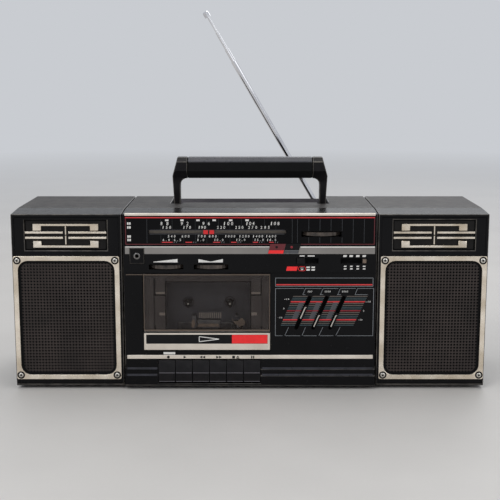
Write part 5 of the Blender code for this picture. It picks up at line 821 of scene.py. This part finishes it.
# Equalizer: two frames, slanted tabs, scale stripes and numbers
frames = box_lines(25.4, 123.7, 106.6, 115.5, 0.45)
frames += [box_outline(25.4, 25.85, 55.7, 104.8), box_outline(124.05, 124.5, 55.7, 104.8)]
tops = ((25.4, 54.2), (55.5, 71.9), (73.2, 88.8), (90.9, 106.4), (108.1, 124.5))
frames += [box_outline(a, b, 104.4, 104.8) for a, b in tops]
frames += [stroke((a, 104.6), (b, 98.2), 0.4) for a, b in ((55.8, 53.1), (73.5, 70.8), (90.9, 88.2), (108.2, 105.6))]
frames += [box_outline(a, b, 98.0, 98.4) for a, b in ((53.1, 55.6), (70.3, 73.6), (87.6, 91.4), (105.3, 118.2))]
feet = ((39.1, 64.5, 35.2, 55.9), (56.1, 64.5, 52.7, 55.9), (73.6, 64.5, 69.8, 55.9), (91.1, 64.5, 86.8, 55.9))
frames += [stroke((a, b), (c, d), 0.4) for a, b, c, d in feet]
lows = ((25.4, 32.9), (36.0, 50.7), (54.0, 67.5), (71.0, 84.5), (88.0, 124.5))
frames += [box_outline(a, b, 55.5, 55.9) for a, b in lows]
printed(GREY_INK, "front_cabinet", frames)
printed(RED_INK, "front_cabinet", [box_outline(26.4, 122.9, 107.8, 109.0)])

SLOT_DEGREES = 23
LEAN = 0.4245  # its tangent
SLOT_CENTRES = (53.25, 70.45, 87.65)
SLOT_MIDDLE, SLOT_HALF, SLOT_GAP = 79.4, 19.0, 2.5
SCALE_FOOT, SCALE_TALL = 65.7, 31.6
STRIPE_PITCH, STRIPE_HALF = 1.86, 0.34
LOWEST_RED = 72.3


def stripe(z, half):
    """Pieces of a level stripe of the scale that stop short of the slots."""
    up = (z - SCALE_FOOT) / SCALE_TALL
    left, right = 30.7 + up * 13.0, 104.2 + up * 14.4
    shift = (z - SLOT_MIDDLE) * LEAN
    pieces, start = [], left
    for centre in SLOT_CENTRES:
        if abs(z - SLOT_MIDDLE) < SLOT_HALF:
            pieces.append((start, centre + shift - SLOT_GAP))
            start = centre + shift + SLOT_GAP
    pieces.append((start, right))
    skew = 2 * half * LEAN
    return [box_outline(a - skew / 2, b - skew / 2, z - half, z + half, skew) for a, b in pieces]


for row in range(-3, 14):
    if row not in (0, 5, 10):
        used = TEAL_INK if row % 5 in (1, 2) else BROWN_INK
        printed(used, "front_cabinet", stripe(LOWEST_RED + STRIPE_PITCH * row, STRIPE_HALF))
patches = []
for centre in SLOT_CENTRES:
    for low, high in ((73.1, 81.0), (82.2, 90.3)):
        shift = (low - SLOT_MIDDLE) * LEAN
        patches.append(box_outline(centre - 8.4 + shift, centre - 3.4 + shift, low, high, (high - low) * LEAN))
printed(PATCH_INK, "front_cabinet", patches, -0.03)
for z, used, half in ((90.9, RED_INK, 0.6), (81.6, DEEP_RED_INK, 0.5), (LOWEST_RED, RED_INK, 0.6)):
    printed(used, "front_cabinet", stripe(z, half))
numbers = [("+10", 34.6, 39.4, 93.6, 1.7), ("0", 33.6, 34.9, 83.9, 1.7), ("-10", 28.0, 32.4, 74.6, 1.7),
           ("+10", 116.5, 121.3, 91.0, 1.7), ("0", 114.0, 115.3, 81.4, 1.7), ("-10", 109.0, 113.4, 72.3, 1.7),
           ("100", 58.0, 62.4, 101.4, 1.8), ("1000", 75.0, 81.0, 101.4, 1.8), ("8000", 92.6, 98.6, 101.4, 1.8)]
written(WHITE_INK, "front_cabinet", numbers)

# Bright ridge on each equalizer knob: a painted highlight along its left edge
for index in (1, 2, 3):
    name = "equalizer_slider_%d" % index
    low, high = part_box(name)
    middle = Vector(((low[0] + high[0]) / 2, FACE, (low[2] + high[2]) / 2))
    x, z = middle.x / MM, middle.z / MM
    bm = bmesh.new()
    slab(bm, [(x - 0.95, z - 6.6), (x + 0.05, z - 6.8), (x + 0.05, z + 5.4), (x + 0.9, z + 6.3), (x + 0.2, z + 6.6),
              (x - 0.95, z + 5.6)], -3.7, -3.1, turn_about(middle, SLOT_DEGREES))
    place(name + "_ridge", as_mesh("ridge", bm), name + "_body", name, (PLATED_STEEL_AND_HIGHLIGHT,))

# Black cards behind the slots of the switches and the equalizer: painted shade inside the slots
SLOT_SHADE_SPANS = (((42.0, 73.0), (126.4, 139.2)), ((86.5, 121.5), (126.4, 139.2)), ((40.0, 104.0), (56.0, 102.0)))
boxes("switch_shades", (5.45, 5.85), SLOT_SHADE_SPANS, "centre_unit", "main_board", BLACK_AND_PAINTED_SHADE)

# Ribs on the knobs of the two switches; the tan ribs of the band switch are a painted highlight
RIB_PITCH = 1.3
for name, used in (("function_switch", KEY_ABS), ("band_switch", BROWN_ACETAL_AND_HIGHLIGHT)):
    low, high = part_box(name)
    starts = [low[0] / MM + 0.6 + rib * RIB_PITCH for rib in range(int((high[0] - low[0]) / MM / RIB_PITCH))]
    boxes(name + "_ribs", (-1.85, -1.4), [((x, x + 0.6), (130.8, 134.8)) for x in starts], name + "_body", name, used)

# Cassette door: a painted highlight in bronze along the window's edge and along the panel's top edge beside it,
# and the trim's dark top edge, black strip, triangle and red block
TRIM_LEVEL = -0.6  # the bright bars stand this far before the face
edges = [box_outline(-107.0, 20.0, 118.2, 118.9), box_outline(-107.0, 20.0, 60.9, 61.9),
         box_outline(-107.0, -106.6, 61.9, 118.2), box_outline(19.6, 20.0, 61.9, 118.2)]
printed(EDGE_HIGHLIGHT_INK, "cassette_window", edges, body=DOOR)
printed(EDGE_HIGHLIGHT_INK, "front_cabinet", [box_outline(-124.4, -107.6, 118.4, 118.9)])
printed(BLACK_INK, "cassette_door_trim", [box_outline(-107.2, 20.2, 58.6, 59.8)], TRIM_LEVEL, DOOR)
printed(BLACK_INK, "cassette_door_trim", [box_outline(-105.1, -18.5, 47.5, 57.0),
                                          box_outline(-18.5, 17.9, 47.5, 57.0)], TRIM_LEVEL, DOOR)
low, high, tip = (-51.4, 49.7), (-51.4, 55.0), (-31.3, 52.35)
arrow = [stroke(low, high, 0.8), stroke(high, tip, 0.8), stroke(low, tip, 0.8)]
printed(WHITE_INK, "cassette_door_trim", arrow, TRIM_LEVEL - 0.06, DOOR)
printed(BRIGHT_RED_INK, "cassette_door_trim", [box_outline(-18.3, 17.7, 47.8, 56.8)], TRIM_LEVEL - 0.06, DOOR)

# Key signs on the lower bar, and the bare block above the record key
signs = [ring_outline(-82.9, 33.5, 1.45, 16)]
signs += [[(x - 1.35 * way, 35.0), (x - 1.35 * way, 32.0), (x + 1.45 * way, 33.5)]
          for x, way in ((-66.1, 1), (-49.8, -1), (-46.9, -1), (-33.0, 1), (-30.1, 1))]
signs += [box_outline(-18.0, -15.3, 32.1, 34.9), [(-13.9, 33.2), (-10.9, 33.2), (-12.4, 35.0)],
          box_outline(-13.9, -10.9, 32.0, 32.8), box_outline(1.2, 2.4, 32.1, 34.9), box_outline(3.1, 4.3, 32.1, 34.9)]
printed(BLACK_INK, "lower_trim_bar", signs, TRIM_LEVEL)
printed(WHITE_INK, "front_cabinet", [box_outline(-87.8, -75.9, 36.2, 38.6)])

for (body, used, slot), bm in PRINTS.items():
    place("%s_%s_on_%s" % (slot, used, body), as_mesh("print", bm), body, slot, (bpy.data.materials[used],))

# Studio: pale floor, pale surroundings and soft lamps
ROOM_COLOUR = "#c9ccd1"
LAMPS_AIM = Vector((0, 0, 0.1))
bm = bmesh.new()
bmesh.ops.create_circle(bm, cap_ends=True, segments=96, radius=14.0)
floor = bpy.data.objects.new("floor", as_mesh("floor", bm))
sheet = finish("pale_vinyl_sheet", ("#cdcac6", "#d2cfcb"), (0.5, 0.6), 120, 3, 0.0)
tree = sheet.node_tree
place_on = node(tree, "ShaderNodeTexCoord").outputs["Object"]
reach = node(tree, "ShaderNodeVectorMath", {0: place_on}, operation="LENGTH").outputs["Value"]
fade = node(tree, "ShaderNodeMapRange", {"Value": reach, "From Min": 0.7, "From Max": 3.2}).outputs["Result"]
path = node(tree, "ShaderNodeLightPath").outputs
direct = node(tree, "ShaderNodeMath", {0: path["Is Camera Ray"], 1: path["Is Glossy Ray"]}, operation="MAXIMUM")
fade = node(tree, "ShaderNodeMath", {0: fade, 1: direct.outputs[0]}, operation="MULTIPLY").outputs[0]
distance = node(tree, "ShaderNodeEmission", {"Color": srgb(ROOM_COLOUR), "Strength": 1.0}).outputs[0]
surface = tree.nodes["Principled BSDF"].outputs[0]
both = node(tree, "ShaderNodeMixShader", {0: fade, 1: surface, 2: distance})
tree.links.new(both.outputs[0], tree.nodes["Material Output"].inputs["Surface"])
floor.data.materials.append(sheet)
SCENE.collection.objects.link(floor)

world = bpy.data.worlds.new("studio")
SCENE.world = world
world.use_nodes = True
tree = world.node_tree
tree.nodes.clear()
path = node(tree, "ShaderNodeLightPath").outputs
direct = node(tree, "ShaderNodeMath", {0: path["Is Camera Ray"], 1: path["Is Glossy Ray"]}, operation="MAXIMUM")
direct = node(tree, "ShaderNodeMath", {0: direct.outputs[0], 1: path["Is Transmission Ray"]}, operation="MAXIMUM")
around = node(tree, "ShaderNodeBackground", {"Color": srgb(ROOM_COLOUR), "Strength": 0.75})
shown = node(tree, "ShaderNodeBackground", {"Color": srgb(ROOM_COLOUR), "Strength": 1.0})
both = node(tree, "ShaderNodeMixShader", {0: direct.outputs[0], 1: around.outputs[0], 2: shown.outputs[0]})
node(tree, "ShaderNodeOutputWorld", {"Surface": both.outputs[0]})

for name, spot_at, size, power in (
    ("key_softbox", (-0.9, -1.3, 1.5), 1.1, 13),
    ("fill_softbox", (1.2, -1.2, 0.9), 1.2, 5),
    ("top_softbox", (0.1, 0.3, 1.7), 1.3, 8),
    ("back_softbox", (0.5, 1.6, 1.3), 1.2, 6),
):
    lamp = bpy.data.lights.new(name, "AREA")
    lamp.size = size
    lamp.energy = power
    holder = bpy.data.objects.new(name, lamp)
    SCENE.collection.objects.link(holder)
    holder.location = spot_at
    holder.rotation_euler = (Vector(spot_at) - LAMPS_AIM).to_track_quat("Z", "Y").to_euler()

SCENE.view_settings.view_transform = "Standard"
